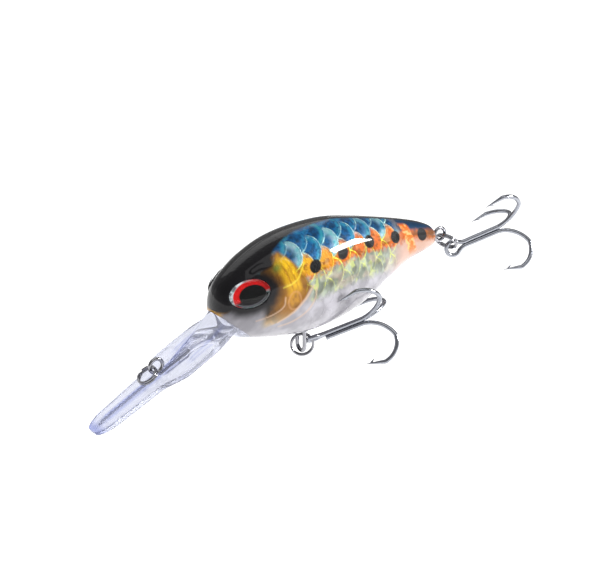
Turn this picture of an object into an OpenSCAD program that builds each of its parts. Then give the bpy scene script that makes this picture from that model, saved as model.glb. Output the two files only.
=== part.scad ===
// Deep-diving crankbait. The origin is the middle of the line-tie eye, +X runs to the tail and +Z to the back.

/* [Body] */
// Length of the hollow body from nose to tail
body_l = 59.5; // [54:0.5:72]
// Height of the back above the body's axis
back_h = 13.3; // [12:0.1:16]
// Depth of the belly below the body's axis
belly_h = 11; // [10:0.1:13.2]
// Full width of the body
body_w = 17; // [15.5:0.1:20.4]
// Wall of the two clear shells
shell_wall = 1.4; // [1.2:0.05:1.7]
// Distance from the line tie back to the nose
nose_x = 14; // [13.5:0.1:15]
// Height of the body's axis over the line tie
nose_z = 10.5; // [10:0.1:11]

/* [Bill] */
// Length of the bill from its shoulder line to the tip
bill_l = 30.5; // [26:0.5:36.6]
// Half width of the bill at its shoulders
shoulder_w = 6.1; // [5.2:0.1:7.3]
// Half width of the narrow blade
blade_w = 3.9; // [3.3:0.1:4.7]
// Thickness of the blade
bill_t = 1.5; // [1.3:0.05:1.8]
// Slope of the bill below the body's axis
bill_angle = 27; // [22:1:32]
// Height of the centre rib above the blade
rib_h = 0.45; // [0.3:0.05:0.55]

/* [Wire and rings] */
// Wire of the line tie and of the tail eye
eye_wire = 0.8; // [0.7:0.05:0.9]
// Wire of the belly hanger
hanger_wire = 0.9; // [0.8:0.05:1]
// Outer diameter of the belly and tail split rings
ring_od = 5.4; // [5:0.05:6.2]
// Outer diameter of the line-tie split ring
tie_ring_od = 4.8; // [4.4:0.05:5.2]
// Wire of the split rings
ring_wire = 0.55; // [0.5:0.01:0.58]

/* [Treble hooks] */
// Length of a hook from the middle of its eye to the middle of its bends
hook_l = 12.2; // [11:0.1:15]
// Radius of the bends
bend_r = 4.8; // [4:0.1:5.7]
// Wire of the hooks
hook_wire = 1.0; // [0.85:0.01:1.05]
// Length of a point behind the middle of its bend
point_l = 3.9; // [3.5:0.1:5]

/* [Eyes] */
// Half length of the oval eyes
eye_a = 4.4; // [3.8:0.1:5]
// Half height of the oval eyes
eye_b = 2.9; // [2.6:0.1:3.3]

/* [Inside] */
// Diameter of the rattle balls
ball_d = 4; // [3.3:0.1:4.4]
// Travel of each rattle ball
ball_travel = 3; // [2:0.1:3.6]

/* [Hidden] */

glue = 0.03;      // gap between glued pieces
fit = 0.05;       // gap round wires and pins in their seats
foil_gap = 0.12;  // gap between a shell and its foil
foil_t = 0.3;     // thickness of the scale foil
rings_n = 36;     // rings along the body
arc_n = 14;       // steps round half a section
plump = 2.15;     // roundness of a section, 2 is an ellipse

// Stations every 15 degrees of the turn from nose to tail, as shares of the body's sizes
NOSE_DROP = -0.11;
TAIL_RISE = 0.2;
BACK = [NOSE_DROP, 0.24, 0.48, 0.71, 0.9, 0.99, 1, 0.9, 0.775, 0.65, 0.53, 0.4, TAIL_RISE];
BELLY = [-NOSE_DROP, 0.58, 0.73, 0.84, 0.94, 1, 0.93, 0.72, 0.365, 0.1, -0.01, -0.1, -TAIL_RISE];
SIDE = [0, 0.42, 0.65, 0.84, 0.96, 1, 0.94, 0.8, 0.59, 0.41, 0.32, 0.22, 0];

function blend(a, b, c, d, t) = 0.5 * (2 * b + (c - a) * t + (2 * a - 5 * b + 4 * c - d) * t * t
  + (3 * b - a - 3 * c + d) * t * t * t);
function station(list, before, after, turn) = let(k = min(floor(turn / 15), 11), t = turn / 15 - k,
  all = concat([before], list, [after])) blend(all[k], all[k + 1], all[k + 2], all[k + 3], t);
function back_at(turn) = back_h * station(BACK, -BELLY[1] * belly_h / back_h, -BELLY[11] * belly_h / back_h, turn);
function belly_at(turn) = -belly_h * station(BELLY, -BACK[1] * back_h / belly_h, -BACK[11] * back_h / belly_h, turn);
function side_at(turn) = body_w / 2 * station(SIDE, -SIDE[1], -SIDE[11], turn);
function turn_at(x) = acos(max(-1, min(1, 1 - 2 * x / body_l)));
function signed_pow(v, p) = sign(v) * pow(abs(v), p);

// A point of the body at x behind the nose and angle a round it (90 the back, 0 the side), drawn in by inset
function hull_point(x, a, inset, close = 1) = let(turn = turn_at(x), top = back_at(turn), low = belly_at(turn),
  half = max(0, (top - low) / 2 - inset) * close, wide = max(0, side_at(turn) - inset) * close)
  [nose_x + x, wide * signed_pow(cos(a), 2 / plump), nose_z + (top + low) / 2 + half * signed_pow(sin(a), 2 / plump)];
function side_y(x, z, inset) = let(turn = turn_at(x), top = back_at(turn), low = belly_at(turn),
  half = (top - low) / 2 - inset, v = min(1, abs(z - nose_z - (top + low) / 2) / half))
  (side_at(turn) - inset) * pow(1 - pow(v, plump), 1 / plump);

// The cavity's ends are rounded off between the nose wall and the solid tail
tail_solid = 9;
function cavity_x(turn) = shell_wall + (body_l - shell_wall - tail_solid) * (1 - cos(turn)) / 2;
function cavity_close(turn) = sqrt(1 - pow(cos(turn), 6));
function cavity_point(turn, a, inset) = hull_point(cavity_x(turn), a, shell_wall + inset, cavity_close(turn));
function quads(rows, cols) = [for (i = [0:rows - 2], j = [0:cols - 2])
  [i * cols + j, i * cols + j + 1, (i + 1) * cols + j + 1, (i + 1) * cols + j]];
function flip(faces) = [for (f = faces) [for (k = [len(f) - 1:-1:0]) f[k]]];
function shift(faces, by) = [for (f = faces) [for (v = f) v + by]];
function split(faces) = [for (f = faces) each (len(f) == 3 ? [f] : [[f[0], f[1], f[2]], [f[0], f[2], f[3]]])];

// A tube along points, with rings of given radii, frames kept upright against the vector up
function unit(v) = v / norm(v);
function tangent(path, i) = unit(path[min(i + 1, len(path) - 1)] - path[max(i - 1, 0)]);
module tube(path, radii, up, sides = 10) {
  n = len(path);
  rings = [for (i = [0:n - 1]) let(t = tangent(path, i), a = unit(cross(t, up)), b = cross(a, t))
    each [for (k = [0:sides - 1]) path[i] + radii[i] * (cos(360 * k / sides) * a + sin(360 * k / sides) * b)]];
  side = [for (i = [0:n - 2], k = [0:sides - 1])
    [i * sides + k, i * sides + (k + 1) % sides, (i + 1) * sides + (k + 1) % sides, (i + 1) * sides + k]];
  polyhedron(rings, concat(split(side), [[for (k = [sides - 1:-1:0]) k]],
    [[for (k = [0:sides - 1]) (n - 1) * sides + k]]));
}

// Half of the hollow body as one closed wall, on +Y for side 1 and on -Y for side -1
module half_wall(side) {
  turns = [for (i = [0:rings_n]) 180 * i / rings_n];
  cols = arc_n + 1;
  outer = [for (u = turns, j = [0:arc_n]) let(p = hull_point(body_l * (1 - cos(u)) / 2, 90 - 180 * j / arc_n, 0))
    [p[0], j == 0 || j == arc_n ? 0 : side * p[1], p[2]]];
  inner = [for (u = turns, j = [0:arc_n]) let(p = cavity_point(u, 90 - 180 * j / arc_n, 0))
    [p[0], j == 0 || j == arc_n ? 0 : side * p[1], p[2]]];
  // The poles are single points, so their rings are collapsed onto one index
  function pole(k) = k % (cols * (rings_n + 1)) < cols ? k - k % cols
    : (k % (cols * (rings_n + 1)) >= cols * rings_n ? k - k % cols : k);
  base = cols * (rings_n + 1);
  grid = split(quads(rings_n + 1, cols));
  rim_top = [for (i = [0:rings_n - 1]) [i * cols, (i + 1) * cols, base + (i + 1) * cols, base + i * cols]];
  rim_low = [for (i = [0:rings_n - 1]) [i * cols + arc_n, base + i * cols + arc_n, base + (i + 1) * cols + arc_n,
    (i + 1) * cols + arc_n]];
  raw = concat(grid, flip(shift(grid, base)), split(rim_top), split(rim_low));
  named = [for (f = raw) [for (v = f) pole(v)]];
  solid = [for (f = named) if (f[0] != f[1] && f[1] != f[2] && f[2] != f[0]) f];
  polyhedron(concat(outer, inner), side > 0 ? solid : flip(solid));
}

// The head in front of the seat of the bill, filled
seat_front = [nose_x - 1.6, nose_z - 0.5];  // the seat's upper edge in X and Z
seat_angle = 39.6;                          // fall of the seat plane towards the chin
module below_seat(gap) {
  translate([seat_front[0], 0, seat_front[1]]) rotate([0, seat_angle, 0])
    translate([-20, -20, -40 - gap]) cube([60, 40, 40]);
}
module above_seat(gap) {
  translate([seat_front[0], 0, seat_front[1]]) rotate([0, seat_angle, 0])
    translate([-20, -20, gap]) cube([60, 40, 40]);
}
chin_rings = 14;
chin_turn = 66;
module head_solid() {
  cols = 2 * arc_n;
  ringed = [for (i = [1:chin_rings]) let(x = body_l * (1 - cos(chin_turn * i / chin_rings)) / 2)
    each [for (j = [0:cols - 1]) hull_point(x, 360 * j / cols, 0)]];
  tip = [nose_x, 0, nose_z + NOSE_DROP * back_h];
  last = (chin_rings - 1) * cols;
  polyhedron(concat([tip], ringed), concat(
    [for (j = [0:cols - 1]) [0, 1 + j, 1 + (j + 1) % cols]],
    split([for (i = [0:chin_rings - 2], j = [0:cols - 1]) [1 + i * cols + j, 1 + (i + 1) * cols + j,
      1 + (i + 1) * cols + (j + 1) % cols, 1 + i * cols + (j + 1) % cols]]),
    [[for (j = [0:cols - 1]) 1 + last + (cols - 1 - j)]]));
}

// The bill's own frame: u runs along it to the tip, n stands up from it
bill_root = [11.6, 3];
module on_bill() {
  translate([bill_root[0], 0, bill_root[1]]) rotate([0, -bill_angle, 0]) rotate([0, 0, 180]) children();
}
function smooth(a, b, v) = let(t = max(0, min(1, (v - a) / (b - a)))) t * t * (3 - 2 * t);
tip_l = 4;      // length of the rounded tip
tip_round = 1.9; // how far the tip's corners are rounded in
function bill_half(u) = let(wing = shoulder_w + (blade_w - shoulder_w) * smooth(8, 15, u),
  root = 4.2 + (wing - 4.2) * smooth(-9, 1, u), tip = bill_l - u, taper = 0.06 * max(0, u - 15))
  root - taper - (tip < tip_l ? tip_round * (1 - sqrt(max(0, 1 - pow(1 - tip / tip_l, 2)))) : 0);
function ridge_at(u) = u > 9 ? rib_h * smooth(0, 4, bill_l - u) : rib_h + (3.6 - rib_h) * (9 - u) / 13;
function keel_at(u) = u > 2 ? 0 : 3.4 * pow((2 - u) / 11, 1.6);
function bill_top(u, v) = let(flat = bill_t / 2 * (0.55 + 0.45 * smooth(0, 5, bill_l - u)),
  rib = exp(-pow(v * bill_half(u) / (u > 9 ? 0.55 : 0.55 + 0.16 * (9 - u)), 2)))
  flat * (1 - 0.3 * pow(abs(v), 6)) + ridge_at(u) * rib;
function bill_low(u, v) = let(flat = bill_t / 2 * (0.55 + 0.45 * smooth(0, 5, bill_l - u)))
  -flat * (1 - 0.3 * pow(abs(v), 6)) - keel_at(u) * (1 - v * v);
bill_rows = 34;
bill_cols = 14;
module blade() {
  us = [for (i = [0:bill_rows]) bill_l - (bill_l + 9) * (1 - cos(90 * i / bill_rows))];
  vs = [for (j = [0:bill_cols]) 2 * j / bill_cols - 1];
  top = [for (u = us, v = vs) [u, v * bill_half(u), bill_top(u, v)]];
  low = [for (u = us, v = vs) [u, v * bill_half(u), bill_low(u, v)]];
  cols = bill_cols + 1;
  base = len(top);
  grid = quads(bill_rows + 1, cols);
  ends = concat([for (i = [0:bill_rows - 1]) [i * cols, (i + 1) * cols, base + (i + 1) * cols, base + i * cols]],
    [for (i = [0:bill_rows - 1]) [i * cols + bill_cols, base + i * cols + bill_cols,
      base + (i + 1) * cols + bill_cols, (i + 1) * cols + bill_cols]],
    [for (j = [0:bill_cols - 1]) [j, base + j, base + j + 1, j + 1]],
    [for (j = [0:bill_cols - 1]) [bill_rows * cols + j, bill_rows * cols + j + 1, base + bill_rows * cols + j + 1,
      base + bill_rows * cols + j]]);
  polyhedron(concat(top, low), flip(split(concat(grid, flip(shift(grid, base)), ends))));
}

// The tang runs from the root block into the head, and the pin crosses it
tang_l = 6;
tang_w = 5;
tang_t = 2.2;
pin_d = 1.4;
pin_u = -10.5;
module tang(gap) {
  on_bill() translate([-7 - tang_l, -tang_w / 2 - gap, -tang_t / 2 - gap])
    cube([tang_l + 1, tang_w + 2 * gap, tang_t + 2 * gap]);
}
module bill_pin_hole(gap) {
  on_bill() translate([pin_u, 0, 0]) rotate([90, 0, 0])
    cylinder(d = pin_d + 2 * gap, h = tang_w + 0.8, center = true, $fn = 32);
}

// Wire shapes, with gap added all round where they are cut out
tie_r = 1.55;
tie_leg_l = 8;
tie_n = bill_root[0] * sin(bill_angle) - bill_root[1] * cos(bill_angle);
module tie_wire(gap) {
  rotate([90, 0, 0]) rotate_extrude($fn = 48) translate([tie_r, 0]) circle(d = eye_wire + 2 * gap, $fn = 24);
  rotate([0, -bill_angle, 0]) {
    translate([0, 0, -tie_n]) cylinder(d = eye_wire + 2 * gap, h = tie_n - tie_r, $fn = 24);
    translate([0, 0, -tie_n]) sphere(d = eye_wire + 2 * gap, $fn = 24);
    translate([0, 0, -tie_n]) rotate([0, 90, 0]) cylinder(d = eye_wire + 2 * gap, h = tie_leg_l, $fn = 24);
  }
}
tail_eye_r = 1.45;
tail_eye_gap = 0.35;
tail_eye_x = nose_x + body_l + tail_eye_r + tail_eye_gap;
tail_eye_z = nose_z + TAIL_RISE * back_h + 0.3;
tail_leg_l = 8;
module tail_wire(gap) {
  translate([tail_eye_x, 0, tail_eye_z]) {
    rotate([90, 0, 0]) rotate_extrude($fn = 48) translate([tail_eye_r, 0]) circle(d = eye_wire + 2 * gap, $fn = 24);
    translate([-tail_eye_r - tail_leg_l, 0, 0]) rotate([0, 90, 0])
      cylinder(d = eye_wire + 2 * gap, h = tail_leg_l, $fn = 24);
  }
}
hanger_x = nose_x + body_l * 22.9 / 59.5;
hanger_r = 1.35;
hanger_drop = 4.9;
belly_z = nose_z + belly_at(turn_at(hanger_x - nose_x));
hanger_z = belly_z - hanger_drop;
hanger_in = 4.5;
module hanger(gap) {
  translate([hanger_x, 0, hanger_z + hanger_r]) {
    rotate([90, 0, 90]) rotate([0, 0, 180]) rotate_extrude(angle = 180, $fn = 48)
      translate([hanger_r, 0]) circle(d = hanger_wire + 2 * gap, $fn = 24);
    for (s = [-1, 1]) translate([0, s * hanger_r, 0])
      cylinder(d = hanger_wire + 2 * gap, h = hanger_drop - hanger_r + hanger_in, $fn = 24);
  }
}

// Eyes: an oval pocket square to the head's side
eye_x = 5.8;
eye_z = nose_z + 2.8;
eye_y = side_y(eye_x, eye_z, 0);
eye_turn = 24;
eye_lean = 14;
eye_tilt = 12;
eye_depth = 1.25;
cup_t = 0.3;
lens_rise = 0.4;
module eye_frame(side) {
  translate([nose_x + eye_x, side * eye_y, eye_z]) mirror([0, side > 0 ? 1 : 0, 0])
    rotate([0, 0, -eye_turn]) rotate([90 - eye_lean, 0, 0]) rotate([0, 0, eye_tilt]) children();
}
module oval(a, b, h) {
  linear_extrude(h) polygon([for (k = [0:47]) [a * cos(7.5 * k), b * sin(7.5 * k)]]);
}
module eye_pocket(side) {
  eye_frame(side) translate([0, 0, -eye_depth]) oval(eye_a + glue, eye_b + glue, 6);
}

// Locating posts on the left shell and their sockets on the right one
POSTS = [[12.7, nose_z + 7.4], [41, nose_z + 4.2]];
post_d = 2.4;
post_pin_d = 1.2;
post_pin_l = 1.2;
module posts(side, gap) {
  for (p = POSTS) translate([nose_x + p[0], side * fit / 2, p[1]]) rotate([side > 0 ? -90 : 90, 0, 0])
    cylinder(d = post_d + 2 * gap, h = side_y(p[0], p[1] + post_d / 2, 0) - 0.35, $fn = 32);
}
module post_pins(gap) {
  for (p = POSTS) translate([nose_x + p[0], post_pin_l + gap, p[1]]) rotate([90, 0, 0])
    cylinder(d = post_pin_d + 2 * gap, h = post_pin_l + gap + 1, $fn = 32);
}

module shell(side) {
  difference() {
    half_wall(side);
    below_seat(-glue);
    tang(fit);
    bill_pin_hole(fit);
    eye_pocket(side);
    hanger(fit);
    tail_wire(fit);
  }
}
module left_shell() {
  color("lightsteelblue") {
    shell(-1);
    posts(-1, 0);
    post_pins(0);
  }
}
module right_shell() {
  color("lightsteelblue") {
    shell(1);
    difference() {
      posts(1, 0);
      post_pins(fit);
    }
  }
}

// Scale foil: a sheet against the flank from the gill to the root of the tail
foil_rows = 22;
foil_cols = 10;
foil_from = 58;
foil_to = 140;
module foil(side) {
  cols = foil_cols + 1;
  function sheet(inset) = [for (i = [0:foil_rows], j = [0:foil_cols])
    let(u = foil_from + (foil_to - foil_from) * i / foil_rows,
      p = cavity_point(u, 62 - 112 * j / foil_cols, inset)) [p[0], side * p[1], p[2]]];
  outer = sheet(foil_gap);
  inner = sheet(foil_gap + foil_t);
  base = len(outer);
  grid = quads(foil_rows + 1, cols);
  ends = concat(
    [for (i = [0:foil_rows - 1]) [i * cols, (i + 1) * cols, base + (i + 1) * cols, base + i * cols]],
    [for (i = [0:foil_rows - 1]) [i * cols + foil_cols, base + i * cols + foil_cols,
      base + (i + 1) * cols + foil_cols, (i + 1) * cols + foil_cols]],
    [for (j = [0:foil_cols - 1]) [j, base + j, base + j + 1, j + 1]],
    [for (j = [0:foil_cols - 1]) [foil_rows * cols + j, foil_rows * cols + j + 1, base + foil_rows * cols + j + 1,
      base + foil_rows * cols + j]]);
  solid = split(concat(grid, flip(shift(grid, base)), ends));
  color("goldenrod") difference() {
    polyhedron(concat(outer, inner), side > 0 ? solid : flip(solid));
    posts(side, 0.2);
  }
}
module left_scale_foil() foil(-1);
module right_scale_foil() foil(1);

module eye_cup(side) {
  color("crimson") eye_frame(side) translate([0, 0, -eye_depth + glue]) oval(eye_a, eye_b, cup_t);
}
module eye_lens(side) {
  floor_z = -eye_depth + cup_t + 2 * glue;
  high = lens_rise - floor_z;
  rim = 0.15;
  ball_r = (pow(eye_a, 2) + pow(high - rim, 2)) / (2 * (high - rim));
  color("whitesmoke") eye_frame(side) intersection() {
    translate([0, 0, floor_z]) oval(eye_a, eye_b, high + 1);
    translate([0, 0, lens_rise - ball_r]) sphere(ball_r, $fn = 96);
  }
}
module left_eye_cup() eye_cup(-1);
module right_eye_cup() eye_cup(1);
module left_eye_lens() eye_lens(-1);
module right_eye_lens() eye_lens(1);

module diving_bill() {
  color("lavender") difference() {
    union() {
      difference() {
        union() {
          head_solid();
          on_bill() blade();
        }
        above_seat(0);
      }
      tang(0);
    }
    bill_pin_hole(fit);
    tie_wire(fit);
  }
}
module bill_pin() color("gray") bill_pin_hole(0);
module line_tie_eye() color("silver") tie_wire(0);
module tail_hanger() color("silver") tail_wire(0);
module belly_hanger() color("silver") hanger(0);

// A split ring: two coils side by side, about the local Z axis
module split_ring(od) {
  for (s = [-1, 1]) translate([0, 0, s * ring_wire * 0.47]) rotate_extrude($fn = 64)
    translate([(od - ring_wire) / 2, 0]) circle(d = ring_wire, $fn = 20);
}
ring_r = (ring_od - ring_wire) / 2;
tie_ring_r = (tie_ring_od - ring_wire) / 2;

tie_slack = 0.55;
tie_ring_lean = 36;
module line_tie_ring() {
  color("silver") rotate([0, -tie_ring_lean, 0]) translate([-tie_slack - tie_ring_r, 0, 0]) split_ring(tie_ring_od);
}

// Belly ring: held by the hanger's bow, its middle up and behind it at rest
ring_play = 0.4;
belly_slack = ring_r - ring_wire / 2 - hanger_wire / 2 - ring_play;
belly_ring_up = 75;
belly_ring_turn = 30;  // the ring's plane is turned about Z
belly_ring_x = hanger_x + belly_slack * cos(belly_ring_up);
belly_ring_z = hanger_z + belly_slack * sin(belly_ring_up);
module belly_ring() {
  color("silver") translate([belly_ring_x, 0, belly_ring_z]) rotate([90, 0, -belly_ring_turn])
    split_ring(ring_od);
}

// Tail ring: its near side is in the tail eye, and it leans down
tail_ring_down = 46;
tail_slack = 0.5;
tail_ring_twist = -20;
tail_ring_at = [tail_eye_x + (tail_slack + ring_r) * cos(tail_ring_down), 0,
  tail_eye_z - (tail_slack + ring_r) * sin(tail_ring_down)];
module tail_ring() {
  color("silver") translate(tail_ring_at) rotate([0, tail_ring_down, 0]) rotate([tail_ring_twist, 0, 0])
    split_ring(ring_od);
}

// Treble hooks, along local +X from the middle of the eye, the single point along local +Z
hook_r = hook_wire / 2;
spread = 0.62;
eye_mid_r = 1.7;
leg_from = 2.6;
flare_x = hook_l - 4;
function limb(side_angle) = let(out = [0, sin(side_angle), cos(side_angle)])
  concat([[leg_from, 0, 0] + spread * out, [flare_x, 0, 0] + spread * out],
    [for (k = [1:14]) let(a = -90 + 172 * k / 14, flare = 4 * pow(cos(min(90, max(0, a + 90))), 1))
      [hook_l - flare * 0.35 + bend_r * cos(a), 0, 0] + (spread + bend_r + bend_r * sin(a)) * out],
    [for (k = [1:4]) let(a = 82) [hook_l + bend_r * cos(a) - k * (point_l + 0.6) / 4, 0, 0]
      + (spread + bend_r + bend_r * sin(a) - 0.28 * k) * out]);
function limb_radii() = [for (k = [0:19]) k < 16 ? hook_r : hook_r * (1 - 0.23 * (k - 15))];
module hook_single() {
  tube(limb(0), limb_radii(), [0, 1, 0]);
}
module hook_pair() {
  a = limb(120);
  b = limb(240);
  za = -spread / 2;
  half_gap = spread * sin(60);
  loop = [for (k = [0:16]) let(t = 38 + 284 * k / 16) [eye_mid_r * cos(t), eye_mid_r * sin(t), za]];
  path = concat([for (k = [19:-1:0]) a[k]], loop, b);
  radii = concat([for (k = [19:-1:0]) limb_radii()[k]], [for (k = loop) hook_r], limb_radii());
  tube(path, radii, [0.05, 0.1, 1]);
}

hook_slack = 0.35;  // from the middle of a hook's eye to the ring's wire
belly_hook_up = 20;
belly_reach = (ring_r + hook_slack) * cos(belly_hook_up);
belly_hook_at = [belly_ring_x + belly_reach * cos(belly_ring_turn), -belly_reach * sin(belly_ring_turn),
  belly_ring_z + (ring_r + hook_slack) * sin(belly_hook_up)];
belly_hook_turn = [150, -21.9, -32.9];
module place_belly_hook() {
  translate(belly_hook_at) rotate(belly_hook_turn) children();
}
tail_hook_at = tail_ring_at + (ring_r + hook_slack) * [cos(tail_ring_down), 0, -sin(tail_ring_down)];
tail_hook_turn = [-92, -17, -17];
module place_tail_hook() {
  translate(tail_hook_at) rotate(tail_hook_turn) children();
}
module belly_hook_pair() color("dimgray") place_belly_hook() hook_pair();
module belly_hook_single() color("gray") place_belly_hook() hook_single();
module tail_hook_pair() color("dimgray") place_tail_hook() hook_pair();
module tail_hook_single() color("gray") place_tail_hook() hook_single();

// Ballast and rattles
weight_d = 5;
weight_l = body_w * 6 / 17;
weight_x = body_l * 17 / 59.5;
module belly_weight() {
  color("slategray") translate([nose_x + weight_x, 0, belly_z + shell_wall + weight_d / 2 + 1.35])
    rotate([90, 0, 0]) cylinder(d = weight_d, h = weight_l, center = true, $fn = 48);
}
rattle_x = nose_x + body_l * 26 / 59.5;
rattle_z = nose_z - 1.5;
tube_wall = 0.5;
tube_in = ball_d + 0.3;
tube_len = 2 * (ball_d + ball_travel) + 0.6;
module rattle_tube() {
  color("white") translate([rattle_x - tube_wall, 0, rattle_z]) rotate([0, 90, 0]) difference() {
    cylinder(d = tube_in + 2 * tube_wall, h = tube_len + 2 * tube_wall, $fn = 48);
    translate([0, 0, tube_wall]) cylinder(d = tube_in, h = tube_len, $fn = 48);
  }
}
ball_front_x = rattle_x + 0.1 + ball_d / 2;
ball_rear_x = rattle_x + tube_len - 0.1 - ball_d / 2;
module rattle_ball_front() color("silver") translate([ball_front_x, 0, rattle_z]) sphere(d = ball_d, $fn = 48);
module rattle_ball_rear() color("silver") translate([ball_rear_x, 0, rattle_z]) sphere(d = ball_d, $fn = 48);

left_shell();
right_shell();
left_scale_foil();
right_scale_foil();
left_eye_cup();
right_eye_cup();
left_eye_lens();
right_eye_lens();
diving_bill();
bill_pin();
line_tie_eye();
line_tie_ring();
belly_hanger();
belly_ring();
belly_hook_pair();
belly_hook_single();
tail_hanger();
tail_ring();
tail_hook_pair();
tail_hook_single();
belly_weight();
rattle_tube();
rattle_ball_front();
rattle_ball_rear();
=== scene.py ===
"""Looks of a deep-diving crankbait: painted body, printed eyes, clear bill, split rings and treble hooks."""

import math

import bmesh
import bpy
import numpy as np
from bpy.props import FloatProperty, FloatVectorProperty, PointerProperty
from mathutils import Euler, Matrix, Vector


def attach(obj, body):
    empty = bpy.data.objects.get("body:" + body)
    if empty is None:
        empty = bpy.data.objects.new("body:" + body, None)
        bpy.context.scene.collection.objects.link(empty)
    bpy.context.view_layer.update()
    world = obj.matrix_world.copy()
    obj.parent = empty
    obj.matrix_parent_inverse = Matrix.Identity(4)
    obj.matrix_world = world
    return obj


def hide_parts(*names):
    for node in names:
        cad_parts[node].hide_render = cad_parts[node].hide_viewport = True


bl_info = {
    "name": "Crankbait Lure",
    "version": (1, 0, 0),
    "blender": (4, 5, 0),
    "location": "View3D > Sidebar > Lure",
    "description": "Builds the painted body, eyes, bill, rings and hooks of a deep-diving crankbait",
    "category": "Add Mesh",
}

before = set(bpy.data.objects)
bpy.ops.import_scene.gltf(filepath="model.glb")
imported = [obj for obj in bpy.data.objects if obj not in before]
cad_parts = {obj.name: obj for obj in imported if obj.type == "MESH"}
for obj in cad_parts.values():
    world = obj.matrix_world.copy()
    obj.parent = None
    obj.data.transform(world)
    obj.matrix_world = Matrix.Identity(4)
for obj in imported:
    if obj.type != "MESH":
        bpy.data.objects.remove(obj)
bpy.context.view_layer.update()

MM = 0.001

# Sizes of the solids, in millimetres, in the frame's axes: +X to the tail, +Z to the back, -Y the left flank
BODY_L = 59.5
BACK_H = 13.3
BELLY_H = 11.0
BODY_W = 17.0
NOSE_X = 14.0
NOSE_Z = 10.5
PLUMP = 2.15
NOSE_DROP = -0.11
TAIL_RISE = 0.2
STATION_STEP = 15.0
BACK = [NOSE_DROP, 0.24, 0.48, 0.71, 0.9, 0.99, 1, 0.9, 0.775, 0.65, 0.53, 0.4, TAIL_RISE]
BELLY = [-NOSE_DROP, 0.58, 0.73, 0.84, 0.94, 1, 0.93, 0.72, 0.365, 0.1, -0.01, -0.1, -TAIL_RISE]
SIDE = [0, 0.42, 0.65, 0.84, 0.96, 1, 0.94, 0.8, 0.59, 0.41, 0.32, 0.22, 0]

BILL_L = 30.5
SHOULDER_W = 6.1
BLADE_W = 3.9
BILL_T = 1.5
BILL_ANGLE = 27.0
BILL_ROOT = (11.6, 3.0)
RIB_H = 0.45
SEAT_FRONT = (NOSE_X - 1.6, NOSE_Z - 0.5)
SEAT_ANGLE = 39.6

RING_OD = 5.4
TIE_RING_OD = 4.8
RING_WIRE = 0.55
TAIL_EYE_R = 1.45
TAIL_EYE_GAP = 0.35
HANGER_X = 36.9
HANGER_DROP = 4.9
TIE_SLACK = 0.55
TIE_RING_LEAN = 36.0
RING_PLAY = 0.4
HANGER_WIRE = 0.9
BELLY_RING_UP = 75.0
BELLY_RING_TURN = 30.0
TAIL_RING_DOWN = 46.0
TAIL_RING_TWIST = -20.0
TAIL_SLACK = 0.5

HOOK_L = 12.2
BEND_R = 4.8
HOOK_WIRE = 1.0
POINT_L = 3.9
SPREAD = 0.62
EYE_MID_R = 1.7
LEG_FROM = 2.6
HOOK_SLACK = 0.35
BELLY_HOOK_UP = 20.0
BELLY_HOOK_TURN = (150.0, -21.9, -32.9)
TAIL_HOOK_TURN = (-92.0, -17.0, -17.0)

EYE_A = 4.4
EYE_B = 2.9
EYE_X = 5.8
EYE_Z = NOSE_Z + 2.8
EYE_TURN = 24.0
EYE_LEAN = 14.0
EYE_TILT = 12.0
EYE_DEPTH = 1.25
CUP_T = 0.3
LENS_RISE = 0.4
GLUE = 0.03


# ---------------------------------------------------------------- small helpers

def linear(color):
    """Screen colour to linear light: the usual 2.4 power curve with its short straight foot."""
    c = np.asarray(color, float)
    return np.where(c <= 0.04045, c / 12.92, ((c + 0.055) / 1.055) ** 2.4)


def smooth(low, high, v):
    """0 below low, 1 above high, and the curve 3t^2 - 2t^3 between them."""
    t = np.clip((np.asarray(v, float) - low) / (high - low), 0, 1)
    return t * t * (3 - 2 * t)


def band(low, high, soft, v):
    """1 between low and high, falling to 0 over soft on each side."""
    return smooth(low - soft, low + soft, v) * (1 - smooth(high - soft, high + soft, v))


def signed_pow(v, p):
    """The power p of the size of v, with v's own sign."""
    return np.sign(v) * np.abs(v) ** p


def speckle(ix, iy, seed):
    """A repeatable fraction from 0 to 1 for each pair of whole numbers, from the tail of a large sine."""
    h = np.sin(ix * 127.1 + iy * 311.7 + seed * 74.7) * 43758.5453
    return h - np.floor(h)


def clouds(x, y, seed, octaves=3):
    """Soft noise from 0 to 1: lattice fractions blended by a smooth step, summed over halving waves."""
    total, size, weight = 0.0, 1.0, 0.0
    for k in range(octaves):
        px, py = x / size, y / size
        ix, iy = np.floor(px), np.floor(py)
        fx, fy = smooth(0, 1, px - ix), smooth(0, 1, py - iy)
        a = speckle(ix, iy, seed + k) * (1 - fx) + speckle(ix + 1, iy, seed + k) * fx
        b = speckle(ix, iy + 1, seed + k) * (1 - fx) + speckle(ix + 1, iy + 1, seed + k) * fx
        total = total + (a * (1 - fy) + b * fy) * size
        weight += size
        size /= 2
    return total / weight


def mix(a, b, t):
    """Colour a where t is 0 and colour b where t is 1."""
    t = np.clip(t, 0, 1)[..., None]
    return np.asarray(a) * (1 - t) + np.asarray(b) * t


def catmull_rom(a, b, c, d, t):
    """The Catmull-Rom curve from b at t = 0 to c at t = 1, with a before and d after."""
    return 0.5 * (2 * b + (c - a) * t + (2 * a - 5 * b + 4 * c - d) * t ** 2
                  + (3 * b - a - 3 * c + d) * t ** 3)


def turn_y(points, degrees):
    """Points turned about the Y axis by the right-hand rule."""
    c, s = math.cos(math.radians(degrees)), math.sin(math.radians(degrees))
    x, z = points[..., 0], points[..., 2]
    return np.stack([c * x + s * z, points[..., 1], c * z - s * x], -1)


def turn_matrix(degrees):
    """Turn about X, then Y, then Z, as the solids are placed."""
    return np.array(Euler([math.radians(v) for v in degrees], "XYZ").to_matrix())


# ---------------------------------------------------------------- mesh helpers

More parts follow.
